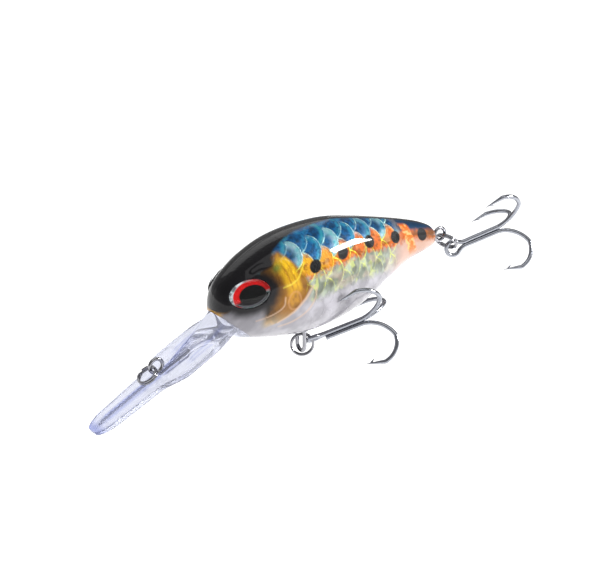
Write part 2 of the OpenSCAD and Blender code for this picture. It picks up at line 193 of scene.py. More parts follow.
def grid_faces(rows, cols, wrap=False):
    """Quads of a grid of rows by cols points, joined round along the columns if wrap."""
    i = np.arange(rows - 1)[:, None]
    j = np.arange(cols if wrap else cols - 1)[None, :]
    k = (j + 1) % cols
    return np.stack([i * cols + j, i * cols + k, (i + 1) * cols + k, (i + 1) * cols + j], -1).reshape(-1, 4)


def make_mesh(name, points, faces, layers=None):
    """A mesh object at the origin from points in millimetres, with one value a point in each of the layers.
    Equal points become one and the faces are turned outwards."""
    points = np.asarray(points, float).reshape(-1, 3)
    mesh = bpy.data.meshes.new(name)
    mesh.from_pydata((points * MM).tolist(), [], [list(f) for f in faces])
    obj = bpy.data.objects.new(name, mesh)
    bpy.context.scene.collection.objects.link(obj)
    for layer, values in (layers or {}).items():
        set_layer(obj, layer, values)
    weld(obj)
    mesh.polygons.foreach_set("use_smooth", np.ones(len(mesh.polygons), bool))
    mesh.update()
    return obj


def weld(obj, distance=2e-7):
    """Merges doubles and turns the faces outwards."""
    work = bmesh.new()
    work.from_mesh(obj.data)
    bmesh.ops.remove_doubles(work, verts=work.verts, dist=distance)
    bmesh.ops.dissolve_degenerate(work, edges=work.edges, dist=distance)
    bmesh.ops.recalc_face_normals(work, faces=work.faces)
    work.to_mesh(obj.data)
    work.free()
    obj.data.update()


def sweep(path, radii, up, sides=16, flat=1.0):
    """A closed tube: circles at right angles to the path, squeezed by flat on the side that faces up."""
    path = np.asarray(path, float)
    radii = np.broadcast_to(np.asarray(radii, float), len(path))
    tangent = np.gradient(path, axis=0)
    tangent /= np.linalg.norm(tangent, axis=1, keepdims=True)
    a = np.cross(tangent, np.asarray(up, float))
    a /= np.linalg.norm(a, axis=1, keepdims=True)
    b = np.cross(a, tangent)
    t = 2 * math.pi * np.arange(sides) / sides
    ring = np.cos(t)[None, :, None] * a[:, None] + flat * np.sin(t)[None, :, None] * b[:, None]
    points = (path[:, None] + radii[:, None, None] * ring).reshape(-1, 3)
    n = len(path)
    faces = grid_faces(n, sides, True).tolist()
    faces.append(list(range(sides))[::-1])
    faces.append(list(range((n - 1) * sides, n * sides)))
    return points, faces


def join_parts(parts):
    """One list of points and faces from several."""
    points, faces, base = [], [], 0
    for p, f in parts:
        points.append(np.asarray(p).reshape(-1, 3))
        faces += [[v + base for v in face] for face in f]
        base += len(points[-1])
    return np.concatenate(points), faces


def smooth_path(points, steps):
    """A Catmull-Rom curve through the points, with steps pieces between each pair."""
    p = np.asarray(points, float)
    p = np.concatenate([2 * p[:1] - p[1:2], p, 2 * p[-1:] - p[-2:-1]])
    a, b, c, d = p[:-3, None], p[1:-2, None], p[2:-1, None], p[3:, None]
    t = (np.arange(steps) / steps)[None, :, None]
    return np.concatenate([catmull_rom(a, b, c, d, t).reshape(-1, 3), p[-2:-1]])


def set_layer(obj, name, values):
    """Writes one number, or one colour of three numbers, for each vertex as a named attribute."""
    values = np.asarray(values, np.float32)
    if values.ndim == 2:
        layer = obj.data.attributes.new(name, "FLOAT_COLOR", "POINT")
        rgba = np.concatenate([np.clip(values, 0, 1), np.ones((len(values), 1), np.float32)], 1)
        layer.data.foreach_set("color", rgba.ravel())
    else:
        layer = obj.data.attributes.new(name, "FLOAT", "POINT")
        layer.data.foreach_set("value", values)


# ---------------------------------------------------------------- the hull

def station(values, before, after, turn):
    """Catmull-Rom blend of a list of shares, one for each 15 degrees of the turn from nose to tail."""
    all_values = np.array([before] + list(values) + [after], float)
    k = np.minimum(np.floor(turn / STATION_STEP).astype(int), len(values) - 2)
    t = turn / STATION_STEP - k
    return catmull_rom(*(all_values[k + i] for i in range(4)), t)


def hull_sizes(turn):
    """Height of the back, height of the belly and half width, in millimetres from the body's axis."""
    back = BACK_H * station(BACK, -BELLY[1] * BELLY_H / BACK_H, -BELLY[11] * BELLY_H / BACK_H, turn)
    belly = -BELLY_H * station(BELLY, -BACK[1] * BACK_H / BELLY_H, -BACK[11] * BACK_H / BELLY_H, turn)
    return back, belly, BODY_W / 2 * station(SIDE, -SIDE[1], -SIDE[11], turn)


def hull(turn, angle, side, inset=0.0):
    """A point of the body: a superellipse section at the turn's x. Angle 90 is the back, 0 the side
    and -90 the belly."""
    back, belly, half_w = hull_sizes(turn)
    half_h = np.maximum((back - belly) / 2 - inset, 0)
    half_w = np.maximum(half_w - inset, 0)
    c, s = np.cos(np.radians(angle)), np.sin(np.radians(angle))
    x = NOSE_X + BODY_L * (1 - np.cos(np.radians(turn))) / 2 + 0 * angle
    y = side * half_w * np.abs(c) ** (2 / PLUMP)
    z = NOSE_Z + (back + belly) / 2 + half_h * signed_pow(s, 2 / PLUMP)
    return np.stack([x, y, z], -1)


def side_y(x, z):
    """Half width of the body at x behind the nose and height z."""
    turn = np.degrees(np.arccos(1 - 2 * x / BODY_L))
    back, belly, half_w = hull_sizes(np.array(turn))
    v = min(1.0, abs(z - NOSE_Z - (back + belly) / 2) / ((back - belly) / 2))
    return float(half_w * (1 - v ** PLUMP) ** (1 / PLUMP))


def eye_matrix(side):
    """Place of an eye: its own X along the oval, Y across it and Z out of the head."""
    lean = Euler((math.radians(90 - EYE_LEAN), 0, 0)).to_matrix()
    turn, tilt = (Matrix.Rotation(math.radians(v), 3, "Z") for v in (-EYE_TURN, EYE_TILT))
    place = turn @ lean @ tilt
    if side > 0:
        place = Matrix.Diagonal((1, -1, 1)) @ place
    return np.array(place), np.array([NOSE_X + EYE_X, side * side_y(EYE_X, EYE_Z), EYE_Z])


# Places of the rings and hooks, worked out from the sizes as the solids' are
RING_R = (RING_OD - RING_WIRE) / 2
TAIL_EYE = (NOSE_X + BODY_L + TAIL_EYE_R + TAIL_EYE_GAP, NOSE_Z + TAIL_RISE * BACK_H + 0.3)
HANGER_TURN = np.degrees(np.arccos(1 - 2 * (HANGER_X - NOSE_X) / BODY_L))
HANGER_Z = NOSE_Z + float(hull_sizes(np.array(HANGER_TURN))[1]) - HANGER_DROP
BELLY_SLACK = RING_R - RING_WIRE / 2 - HANGER_WIRE / 2 - RING_PLAY
BELLY_RING_AT = np.array([HANGER_X + BELLY_SLACK * math.cos(math.radians(BELLY_RING_UP)), 0.0,
                          HANGER_Z + BELLY_SLACK * math.sin(math.radians(BELLY_RING_UP))])
BELLY_HOOK_AT = BELLY_RING_AT + (RING_R + HOOK_SLACK) * np.array([
    math.cos(math.radians(BELLY_HOOK_UP)) * math.cos(math.radians(BELLY_RING_TURN)),
    -math.cos(math.radians(BELLY_HOOK_UP)) * math.sin(math.radians(BELLY_RING_TURN)),
    math.sin(math.radians(BELLY_HOOK_UP))])
TAIL_AIM = np.array([math.cos(math.radians(TAIL_RING_DOWN)), 0.0, -math.sin(math.radians(TAIL_RING_DOWN))])
TAIL_RING_AT = np.array([TAIL_EYE[0], 0.0, TAIL_EYE[1]]) + (TAIL_SLACK + RING_R) * TAIL_AIM
TAIL_HOOK_AT = TAIL_RING_AT + (RING_R + HOOK_SLACK) * TAIL_AIM


# ---------------------------------------------------------------- the painted flank

SCALE_PITCH = 4.9
SCALE_ROW = 3.5
SCALE_R = 3.25
SCALE_EDGE_X = 26.1
SPOTS = ((21.2, 0.1, 1.45), (28.9, -0.1, 1.45), (37.0, -0.2, 1.45), (45.3, 0.1, 1.4), (54.0, 0.3, 1.45))

# Lines of the head, as x behind the nose and angle of the section
GILL_EDGE = ((20.2, 5), (18.4, -4), (15.5, -17), (12.0, -28))
GILL_OUTER = ((21.0, 2), (20.6, -8), (18.8, -20), (15.6, -31), (12.5, -36))
CHEEK = ((13.3, 1), (12.9, -8), (10.5, -15), (7.0, -20))
GILL_TOP = ((18.6, 32), (17.6, 24), (16.6, 17), (15.0, 13), (13.0, 12))
BROW = ((12.6, 59), (12.3, 51), (11.4, 46), (10.4, 48), (9.2, 52), (7.6, 52))
LINE_STEPS = 12
DEGREES_PER_MM = 6.0
RIDGE_W = 0.9
RIDGE_H = 0.07
PAINT_SHADE = 0.86


def lateral(x):
    """Angle of the lateral line, through the spots, at x behind the nose."""
    return np.interp(x, [0, 12, 21, 29, 37, 45, 54, 59.5], [30, 26, 24, 28, 33, 30, 25, 22])


def scale_cells(x, v):
    """The rows of overlapping scales. Each scale is a disc, each row is set half a pitch from the last, and
    at any point the disc nearest the head is on top. Gives each point's distance inside its disc's edge, the
    height of its disc's centre and a fraction that is the disc's own."""
    best_x = np.full(x.shape, 1e9)
    inside = np.zeros(x.shape)
    cv, own = np.zeros(x.shape), np.zeros(x.shape)
    row0 = np.floor(v / SCALE_ROW + 0.5)
    for dr in (-1, 0, 1):
        row = row0 + dr
        start = SCALE_EDGE_X - SCALE_R + np.where(row % 2 == 0, 0.0, SCALE_PITCH / 2)
        col0 = np.floor((x - start) / SCALE_PITCH + 0.5)
        for dc in (-1, 0, 1):
            col = col0 + dc
            mx = start + col * SCALE_PITCH
            mv = row * SCALE_ROW
            d = np.hypot(x - mx, (v - mv) * (1 - 0.12 * np.sign(x - mx)))
            take = (d < SCALE_R) & (mx < best_x)
            best_x = np.where(take, mx, best_x)
            inside = np.where(take, SCALE_R - d, inside)
            cv = np.where(take, mv, cv)
            own = np.where(take, speckle(col, row, 3.0), own)
    return inside, cv, own


def arc_line(x, a, points, width):
    """1 along a smooth line through the points of the (x, angle) map, fading over its width."""
    line = smooth_path([(px, pa / DEGREES_PER_MM, 0) for px, pa in points], LINE_STEPS)[:, :2]
    near = np.full(x.shape, 1e9)
    for px, pa in line:
        near = np.minimum(near, np.hypot(x - px, a / DEGREES_PER_MM - pa))
    return 1 - smooth(width * 0.4, width, near)


def paint_flank(x, a, v, eye_r, props):
    """Colours, relief and metal of one flank from x behind the nose, the section's angle a, the distance v
    below the lateral line and the distance eye_r from the eye in eye radii. Zones are laid from the belly
    up, and the lines of the head and the black come last."""
    c = {key: linear(getattr(props, key)) for key in (
        "back", "blue", "teal", "gold", "amber", "orange", "pearl", "clear", "tail_pink", "scale_line")}
    inside, cv, own = scale_cells(x, v)
    n1 = clouds(x * 0.35, v * 0.35, 1.0)
    n2 = clouds(x * 1.6 + 9, v * 1.6, 2.0)
    n3 = clouds(x * 4.0 - 7, v * 4.0, 4.0, 2)
    white = np.array([1.0, 1.0, 1.0])

    # Belly: milky pearl, with painted shade making it greyer low down and under the head
    col = mix(c["pearl"] * 0.72, c["pearl"] * 1.1, smooth(0.3, 0.75, n1))
    col = mix(col, c["pearl"] * 0.5, 0.5 * smooth(-35, -75, a) + 0.35 * smooth(14, 6, x))
    # Clear lower flank with pale green foil
    scaled = smooth(17.5, 20.5, x) * (1 - smooth(44, 48, x))
    low_zone = scaled * band(1.5, 7.4, 1.1, v + 1.6 * (n2 - 0.5)) * (1 - 0.45 * smooth(38, 47, x))
    foil = mix(c["clear"] * 0.62, c["clear"] * 1.2, smooth(0.35, 0.65, clouds(x * 0.7 + 1, v * 0.6, 13.0, 2)))
    for tint, share, noise in (
            ((0.86, 0.9, 0.5), 0.55, clouds(x * 0.9, v * 0.7 + 40, 5.0, 2)),
            ((0.4, 0.4, 0.34), 0.5, clouds(x * 0.6 + 31, v * 0.45, 6.0, 2)),
            ((0.8, 0.7, 0.64), 0.45, clouds(x * 0.4 + 3, v * 0.6, 7.0, 2))):
        foil = mix(foil, linear(tint), share * smooth(0.55, 0.75, noise))
    foil = foil * (1 - 0.3 * smooth(1.9, 0.6, inside) * smooth(0.0, 0.5, inside))[..., None]
    col = mix(col, foil, low_zone)
    # Tail: pale pink below, orange and brown above
    tail = smooth(42, 49, x)
    col = mix(col, c["tail_pink"], 0.8 * tail * smooth(-72, -20, a + 6 * n1))

    # Scales by row: orange at the lateral line, blue above it, each scale with painted light and shade,
    # darker deep inside and lighter toward its edge, mixed with random tone
    shine = np.exp(-((inside - 0.75) / 0.5) ** 2)
    orange = mix(c["orange"] * 0.5, c["orange"] * 1.05, smooth(2.6, 0.3, inside) * 0.6 + 0.7 * (n2 - 0.3))
    orange = mix(orange, c["gold"] * 0.85, 0.75 * smooth(32, 17, x) * smooth(0.3, 0.6, n1 + 0.3 * own))
    orange = mix(orange, c["amber"] * 0.45, 0.75 * smooth(0.5, 0.7, clouds(x * 0.9, v * 1.3 + 5, 8.0)))
    sand = smooth(0.58, 0.7, clouds(x * 0.7 + 60, v * 0.9, 9.0))
    orange = mix(orange, linear((0.8, 0.62, 0.38)), 0.45 * sand)
    lit = 0.6 * smooth(0.25, 0.75, n2) + 0.4 * smooth(2.4, 0.3, inside)
    blue = mix(c["blue"] * 0.3, c["blue"] * 1.15, lit)
    blue = mix(blue, c["teal"] * 0.8, (0.2 + 0.6 * own) * shine * smooth(0.3, 0.65, n2 + 0.3 * own))
    pale = smooth(0.45, 0.6, own) * smooth(-5.6, -3.2, cv)
    pale = pale * smooth(2.8, 0.4, inside) * smooth(0.3, 0.6, n1 + own / 3)
    blue = mix(blue, mix(c["teal"], white * 0.62, n2), 0.7 * pale)
    top_edge = np.interp(x, [0, 12, 16, 20, 30, 40, 48, 55, 59.5], [60, 60, 71, 78, 82, 81, 77, 70, 64])
    up = smooth(-0.9, -2.4, cv + 0.5 * (v - cv))
    flank = mix(orange, blue, up)
    in_scales = 1 - smooth(45.0, 48.0, x + 1.5 * (n2 - 0.5))
    upper = smooth(2.9, 1.5, v + 1.8 * (n2 - 0.5) + 0.35 * (cv > 1)) * in_scales
    col = mix(col, flank, upper)
    # Behind the scales the bands run plain to the tail
    dusk = mix(c["blue"] * 0.12, c["blue"] * 0.4, n1)
    rear = mix(c["orange"] * 0.75, c["amber"] * 0.8, smooth(50, 56, x + 2 * (n2 - 0.5)))
    rear = mix(rear, linear((0.3, 0.24, 0.16)), 0.6 * smooth(0.5, 0.68, clouds(x * 0.8 + 11, v * 0.6, 10.0)))
    rear = mix(rear, dusk, smooth(-0.3, -1.5, v + 0.6 * (n2 - 0.5)))
    col = mix(col, rear, (1 - in_scales) * smooth(2.2, 0.6, v + 1.2 * (n2 - 0.5)))
    stripe = band(48.5, 51.0, 0.35, x + 0.03 * (a - 20) + 0.7 * (n2 - 0.5))
    stripe_col = mix(c["orange"] * 1.1, linear((0.98, 0.72, 0.45)), smooth(0.45, 0.7, n2))
    col = mix(col, stripe_col, 0.95 * stripe * smooth(-40, -6, a) * smooth(66, 52, a))

    # Gill cover: gold and amber, brighter in slanting stripes
    edge = np.interp(a, [-44, -36, -28, -17, -4, 5, 15, 25, 35, 45, 60],
                     [8.0, 9.6, 12.0, 15.5, 18.2, 19.6, 18.6, 17.4, 16.3, 15.0, 13.6])
    slant = x + 0.055 * (a - 20)
    gill = smooth(7.5, 9.5, x) * smooth(edge + 0.5, edge - 0.5, x) * smooth(-42, -22, a + 5 * (n2 - 0.5))
    gill = gill * smooth(64, 54, a)
    lit = smooth(8.8, 13.2, x + 0.02 * a + 1.5 * (n2 - 0.5))
    cover = mix(linear((0.16, 0.11, 0.05)), linear((0.58, 0.38, 0.07)), lit)
    honey = smooth(0.4, 0.65, clouds(x * 0.5 + 2, a * 0.06, 15.0))
    cover = mix(cover, linear((0.78, 0.55, 0.12)), 0.8 * honey)
    brown = smooth(0.5, 0.7, clouds(x * 0.9 + 5, a * 0.1, 16.0))
    cover = mix(cover, linear((0.45, 0.28, 0.06)), 0.6 * brown)
    bright = band(13.2, 16.6, 0.6, slant) * smooth(-2, 14, a) * smooth(54, 42, a)
    cover = mix(cover, c["gold"], bright * (0.55 + 0.45 * smooth(0.35, 0.6, n1)))
    lines = np.exp(-((slant - 14.5) / 0.2) ** 2) + 0.7 * np.exp(-((slant - 15.7) / 0.16) ** 2)
    cover = mix(cover, c["amber"] * 0.6, 0.6 * lines * smooth(0, 12, a) * smooth(48, 36, a))
    ring = np.abs(np.hypot((x - 15.6) / 1.5, (a + 5.0) / 9.0) - 1)
    cover = mix(cover, linear((0.85, 0.62, 0.4)), 0.35 * smooth(0.2, 0.06, ring))
    green = np.exp(-(x - 12.3) ** 2 - ((a - 38) / 6) ** 2)
    cover = mix(cover, linear((0.35, 0.5, 0.2)), 0.75 * green)
    cover = mix(cover, linear((0.86, 0.8, 0.66)), 0.5 * smooth(-10, -34, a))
    col = mix(col, cover, gill)

    # Scale outlines: pale teal above, yellow green along the lateral line, faint below
    outline = np.exp(-((inside - 0.1) / 0.1) ** 2)
    inner = np.exp(-((inside - 0.48) / 0.12) ** 2)
    inner = inner * smooth(0.35, 0.7, clouds(x * 2.1, v * 2.1 + 3, 12.0))
    glint = smooth(0.5, 0.72, clouds(x * 1.3 + 17, v * 1.3, 14.0))
    line_col = mix(c["scale_line"], linear((0.9, 0.93, 0.3)), smooth(-2.6, -0.2, v))
    line_col = mix(line_col, linear((0.75, 0.65, 0.9)), 0.5 * smooth(0.6, 0.8, n1) * smooth(-1, -3, v))
    drawn = (scaled + smooth(13.5, 15, x) * up * (1 - smooth(44, 47, x))).clip(0, 1)
    strength = drawn * (0.35 + 0.6 * glint) * smooth(-7.6, -5.8, v) * smooth(6.8, 4.2, v)
    strength = strength * (1 - 0.3 * smooth(2.0, 3.0, v))
    col = mix(col, line_col * 1.15, 1.25 * strength * outline)
    col = mix(col, line_col, 0.45 * strength * inner)

    # Gill lines and the brow
    rose = linear((0.86, 0.72, 0.6))
    for points, width, share, tint in (
            (GILL_EDGE, 0.35, 0.6, rose), (GILL_OUTER, 0.35, 0.45, rose), (CHEEK, 0.26, 0.5, rose),
            (GILL_TOP, 0.24, 0.75, linear((0.95, 0.85, 0.25))), (BROW, 0.24, 0.4, rose * 0.6)):
        col = mix(col, tint, share * arc_line(x, a, points, width))

    # Black back and head, and the dark ring round the eye
    head_edge = 12.4 + 0.6 * np.sin(a / 5.0) * smooth(40, 60, a) + 0.9 * (n1 - 0.5)
    head = smooth(head_edge + 1.0, head_edge - 0.6, x - 0.06 * (a - 52)) * smooth(36, 46, a)
    black = np.maximum(smooth(top_edge - 2.5, top_edge + 3.5, a + 4 * (n2 - 0.5)), head)
    black = np.maximum(black, smooth(1.95, 1.2, eye_r + 0.3 * (n1 - 0.5)))
    black = np.maximum(black, smooth(9.8, 7.4, x) * smooth(-6, 10, a + 5 * (n1 - 0.5)))
    col = mix(col, c["back"] * (0.8 + 0.5 * n2[..., None]), black)
    for sx, sv, r in SPOTS:
        spot = 1 - smooth(r - 0.1, r + 0.12, np.hypot(x - sx, v - sv))
        col = mix(col, linear((0.02, 0.02, 0.025)) * (0.7 + 1.2 * n3[..., None]), spot)

    relief = drawn * (0.7 * smooth(0.5, 0.0, inside) - 0.5 * outline) + (0.35 * low_zone + 0.25 * upper) * n3
    metal = (0.55 * upper * (1 - black) + 0.35 * low_zone + 0.4 * gill).clip(0, 1) * (1 - black)
    return col * PAINT_SHADE, relief, metal


# ---------------------------------------------------------------- shells

SHELL_ROWS = 400
SHELL_COLS = 165
SEAT_COLS = 6
INNER_COLS = 14
SHELL_T = 1.3
TAIL_SOLID = 9.0


def row_turns():
    """Turns of the rows: even steps of x along the body, with even steps of turn added at both ends."""
    even = np.degrees(np.arccos(1 - 2 * np.linspace(0, 1, SHELL_ROWS)))
    ends = np.concatenate([np.arange(0.6, 9, 0.9), 180 - np.arange(0.6, 9, 0.9)])
    return np.unique(np.round(np.concatenate([even, ends]), 6))


def seat_z(x):
    """Height of the bill's seat plane at x."""
    return SEAT_FRONT[1] - np.tan(math.radians(SEAT_ANGLE)) * (x - SEAT_FRONT[0])


def seat_cut(turn):
    """Angle at which the section at the turn meets the seat plane, -90 where it stays above it."""
    back, belly, _ = hull_sizes(turn)
    x = NOSE_X + BODY_L * (1 - np.cos(np.radians(turn))) / 2
    half = np.maximum((back - belly) / 2, 1e-6)
    s = np.clip((seat_z(x) - NOSE_Z - (back + belly) / 2) / half, -1, 1)
    return np.degrees(np.arcsin(signed_pow(s, PLUMP / 2)))


def inner_wall(turn, side):
    """The inside of a half: the section drawn in by the wall, closed at both ends and kept above the seat."""
    x = SHELL_T + (BODY_L - SHELL_T - TAIL_SOLID) * (1 - np.cos(np.radians(turn))) / 2
    inner_turn = np.degrees(np.arccos(1 - 2 * x / BODY_L))
    close = np.sqrt(np.maximum(0, 1 - np.cos(np.radians(turn)) ** 6))
    wall = hull(inner_turn, 90 - 180 * np.linspace(0, 1, INNER_COLS)[None, :], side, SHELL_T)
    back, belly, _ = hull_sizes(inner_turn)
    axis_z = NOSE_Z + (back + belly) / 2
    wall[..., 1] *= close
    wall[..., 2] = axis_z + (wall[..., 2] - axis_z) * close
    wall[..., 2] = np.maximum(wall[..., 2], seat_z(wall[..., 0]) + SHELL_T)
    return wall


def build_shell(name, side, props):
    """Half of the body: rings of the section from the back down to the belly or the bill's seat, a flat step
    across the seat, and an inner wall. The eye's pocket is pressed in, and the paint's layers ride along."""
    turn = row_turns()[:, None]
    t = np.linspace(0, 1, SHELL_COLS)[None, :]
    cut = seat_cut(turn)
    end = np.where(cut > -89.5, cut, -90.0)
    angle = 90 + (end - 90) * t
    outer = hull(turn, angle, side)
    x = outer[..., 0] - NOSE_X
    down = np.concatenate([np.zeros((len(turn), 1)),
                           np.cumsum(np.linalg.norm(np.diff(outer, axis=1), axis=2), axis=1)], 1)
    mid = np.array([np.interp(-lateral(x[i, 0]), -angle[i], down[i]) for i in range(len(turn))])[:, None]
    v = down - mid
    place, centre = eye_matrix(side)
    local = (outer - centre) @ place
    eye_r = np.hypot(local[..., 0] / (EYE_A + GLUE), local[..., 1] / (EYE_B + GLUE))
    near_eye = (local[..., 2] > -6) & (outer[..., 1] * side > 0)
    eye_r = np.where(near_eye, eye_r, 9.0)
    col, relief, metal = paint_flank(x, angle, v, eye_r, props)

    # Raised gill edges, then the eye's pocket
    normal = np.cross(np.gradient(outer, axis=0), np.gradient(outer, axis=1))
    normal /= np.linalg.norm(normal, axis=2, keepdims=True) + 1e-9
    normal *= np.sign(normal[..., 1:2] * side + 1e-9)
    ridge = np.zeros(x.shape)
    for points in (GILL_EDGE, CHEEK, BROW[1:]):
        ridge = np.maximum(ridge, arc_line(x, angle, points, RIDGE_W))
    outer = outer + RIDGE_H * (ridge * (eye_r > 1.3))[..., None] * normal
    push = np.where(eye_r < 1.0, -EYE_DEPTH - local[..., 2], 0.0)
    outer = outer + push[..., None] * place[:, 2]
    inward = 1 - np.arange(1, SEAT_COLS + 1)[None, :, None] / SEAT_COLS
    seat = outer[:, -1:] * np.array([1, 0, 1]) + outer[:, -1:] * np.array([0, 1, 0]) * inward

    ring = np.concatenate([outer, seat, inner_wall(turn, side)[:, ::-1]], 1)
    ring[..., 1] = np.where(np.abs(ring[..., 1]) < 1e-4, 0.0, ring[..., 1])
    extra = ring.shape[1] - SHELL_COLS
    pad = [(0, 0), (0, extra)]
    layers = {"paint": np.pad(col, pad + [(0, 0)], "edge").reshape(-1, 3),
              "relief": np.pad(relief, pad, "edge").ravel(), "metal": np.pad(metal, pad).ravel()}
    ring[0, :SHELL_COLS + SEAT_COLS] = ring[0, 0]
    ring[-1, :SHELL_COLS + SEAT_COLS] = ring[-1, 0]
    return make_mesh(name, ring, grid_faces(len(turn), ring.shape[1], True).tolist(), layers)


# ---------------------------------------------------------------- eyes

EYE_RINGS = 40
EYE_STEPS = 128
LENS_RIM = -0.1


def oval_grid():
    """Radius share and angle over an oval, from its middle to its rim."""
    r = np.linspace(0, 1, EYE_RINGS + 1)[:, None]
    a = 2 * math.pi * np.arange(EYE_STEPS)[None, :] / EYE_STEPS
    return r + 0 * a, a + 0 * r


def oval_solid(side, top, low):
    """A closed oval disc: a height over the oval for its top sheet and one height for its flat underside."""
    r, a = oval_grid()
    place, centre = eye_matrix(side)
    flat = np.stack([EYE_A * r * np.cos(a), EYE_B * r * np.sin(a), np.asarray(top) + 0 * r], -1)
    under = flat[::-1] * np.array([1, 1, 0]) + np.array([0, 0, low])
    sheet = np.concatenate([flat, under]).reshape(-1, 3) @ place.T + centre
    return sheet, grid_faces(2 * (EYE_RINGS + 1), EYE_STEPS, True).tolist()


def build_eye_print(name, side, props):
    """The printed disc: silver rim, red crescent over the top and front, black pupil set low and back."""
    points, faces = oval_solid(side, -EYE_DEPTH + GLUE + CUP_T, -EYE_DEPTH + GLUE)
    r, a = oval_grid()
    p, q = r * np.cos(a), r * np.sin(a)
    pupil_r = np.hypot((p - 0.13) / 0.66, (q + 0.17) / 0.72)
    pupil_a = np.degrees(np.arctan2(q + 0.17, p - 0.13)) % 360
    silver = mix(linear((0.62, 0.68, 0.7)), linear((0.93, 0.95, 0.95)), clouds(p * 5, q * 5, 21.0))
    silver = mix(silver, linear((0.45, 0.72, 0.68)), 0.5 * smooth(0.5, 0.7, clouds(p * 7 + 3, q * 7, 22.0)))
    col = mix(silver, linear((0.2, 0.2, 0.21)), smooth(0.93, 0.99, r))
    crescent = band(4, 222, 9, (pupil_a + 10) % 360 - 10)
    red = mix(linear(props.iris), linear(props.iris) * 1.6, clouds(p * 4, q * 4, 23.0))
    col = mix(col, red, crescent * smooth(1.5, 1.42, pupil_r))
    lower = 1 - band(-2, 200, 10, (pupil_a + 90) % 360 - 90)
    col = mix(col, linear((0.03, 0.03, 0.035)), lower * smooth(1.7, 1.4, pupil_r) * smooth(0.97, 0.92, r))
    dark = smooth(0.5, 0.62, clouds(p * 3 + 8, q * 3, 24.0)) * smooth(1.45, 1.5, pupil_r)
    col = mix(col, linear((0.1, 0.12, 0.13)), 0.75 * dark)
    col = mix(col, linear((0.01, 0.01, 0.012)), smooth(1.03, 0.97, pupil_r))
    arc = band(205, 335, 14, pupil_a) * np.exp(-((r - 0.86) / 0.035) ** 2)
    col = mix(col, linear((0.5, 0.5, 0.53)), 0.8 * arc)
    both = np.concatenate([col, col[::-1]]).reshape(-1, 3)
    return make_mesh(name, points, faces, {"paint": both})


def build_eye_dome(name, side):
    """The clear lens: height falls from the middle as the power 0.75 of one less the squared radius."""
    r, _ = oval_grid()
    top = LENS_RIM + (LENS_RISE - LENS_RIM) * np.maximum(0, 1 - r ** 2) ** 0.75
    points, faces = oval_solid(side, top, -EYE_DEPTH + CUP_T + 2 * GLUE)
    return make_mesh(name, points, faces)


# ---------------------------------------------------------------- the bill

BILL_ROWS = 150
BILL_COLS = 61
CHIN_ROWS = 60
CHIN_COLS = 48
TIP_L = 4.0
TIP_ROUND = 1.9
ROOT_W = 4.2
ROOT_ROOF = 3.6
KEEL = 3.4
BEAD_PITCH = 1.25
BEAD_H = 0.175


def bill_half(u):
    """Half width of the bill at u, from its root by the shoulders and the long narrow blade to the tip."""
    wing = SHOULDER_W + (BLADE_W - SHOULDER_W) * smooth(8, 15, u)
    root = ROOT_W + (wing - ROOT_W) * smooth(-9, 1, u)
    tip = np.clip(BILL_L - u, 0, TIP_L)
    rounding = TIP_ROUND * (1 - np.sqrt(np.maximum(0, 1 - (1 - tip / TIP_L) ** 2)))
    return root - 0.06 * np.maximum(0, u - 15) - rounding


def bill_sheet(u, v, top):
    """Height of the bill's upper or lower face at u along and v across, -1 to 1: a plate with soft edges,
    a centre rib that grows into the roof of the root, and a keel under the root."""
    flat = BILL_T / 2 * (0.55 + 0.45 * smooth(0, 5, BILL_L - u)) * (1 - 0.3 * np.abs(v) ** 6)
    if not top:
        keel = KEEL * (np.maximum(0, 2 - u) / 11) ** 1.6
        return -flat - keel * (1 - v * v)
    behind = np.maximum(0, 9 - u)
    ridge = np.where(u > 9, RIB_H * smooth(0, 4, BILL_L - u), RIB_H + (ROOT_ROOF - RIB_H) * behind / 13)
    width = 0.55 + 0.16 * behind
    beads = 1 + BEAD_H * band(13, 27.5, 0.6, u) * np.cos(2 * math.pi * u / BEAD_PITCH)
    recess = 0.28 * band(5.2, 11.5, 0.5, u) * band(0.3, 0.8, 0.06, np.abs(v))
    return flat + ridge * beads * np.exp(-(v * bill_half(u) / width) ** 2) - recess


def on_bill(points):
    """Points from the bill's own frame, along, across and up, to the frame's axes."""
    flipped = points * np.array([-1, -1, 1])
    return turn_y(flipped, -BILL_ANGLE) + np.array([BILL_ROOT[0], 0, BILL_ROOT[1]])


def blade_parts():
    """The bill's plate as two sheets joined round the rim."""
    t = np.linspace(0, 1, BILL_ROWS)[:, None]
    u = BILL_L - (BILL_L + 9) * (1 - np.cos(t * math.pi / 2)) ** 0.9
    v = np.sin(np.linspace(-1, 1, BILL_COLS) * math.pi / 2)[None, :]
    top = np.stack([u + 0 * v, v * bill_half(u), bill_sheet(u, v, True)], -1)
    low = np.stack([u + 0 * v, v * bill_half(u), bill_sheet(u, v, False)], -1)
    ring = on_bill(np.concatenate([top, low[:, ::-1]], 1))
    faces = grid_faces(BILL_ROWS, 2 * BILL_COLS, True).tolist()
    last = (BILL_ROWS - 1) * 2 * BILL_COLS
    pairs = [[j, 2 * BILL_COLS - 1 - j, 2 * BILL_COLS - 2 - j, j + 1] for j in range(BILL_COLS - 1)]
    faces += pairs + [[last + k for k in f[::-1]] for f in pairs]
    return ring, faces


def chin_parts():
    """The nose of the body as closed sections, on past the place where the seat plane leaves the belly."""
    turns = np.linspace(1, 90, 500)
    turn = np.linspace(1, turns[seat_cut(turns) > -89.9][-1] + 3, CHIN_ROWS)[:, None]
    angle = 90 - 180 * np.linspace(0, 1, CHIN_COLS)[None, :]
    ring = np.concatenate([hull(turn, angle, 1)[:, :-1], hull(turn, angle, -1)[:, :0:-1]], 1)
    ring[0] = ring[0].mean(0)
    ring[-1] = ring[-1].mean(0)
    return ring, grid_faces(CHIN_ROWS, 2 * CHIN_COLS - 2, True).tolist()


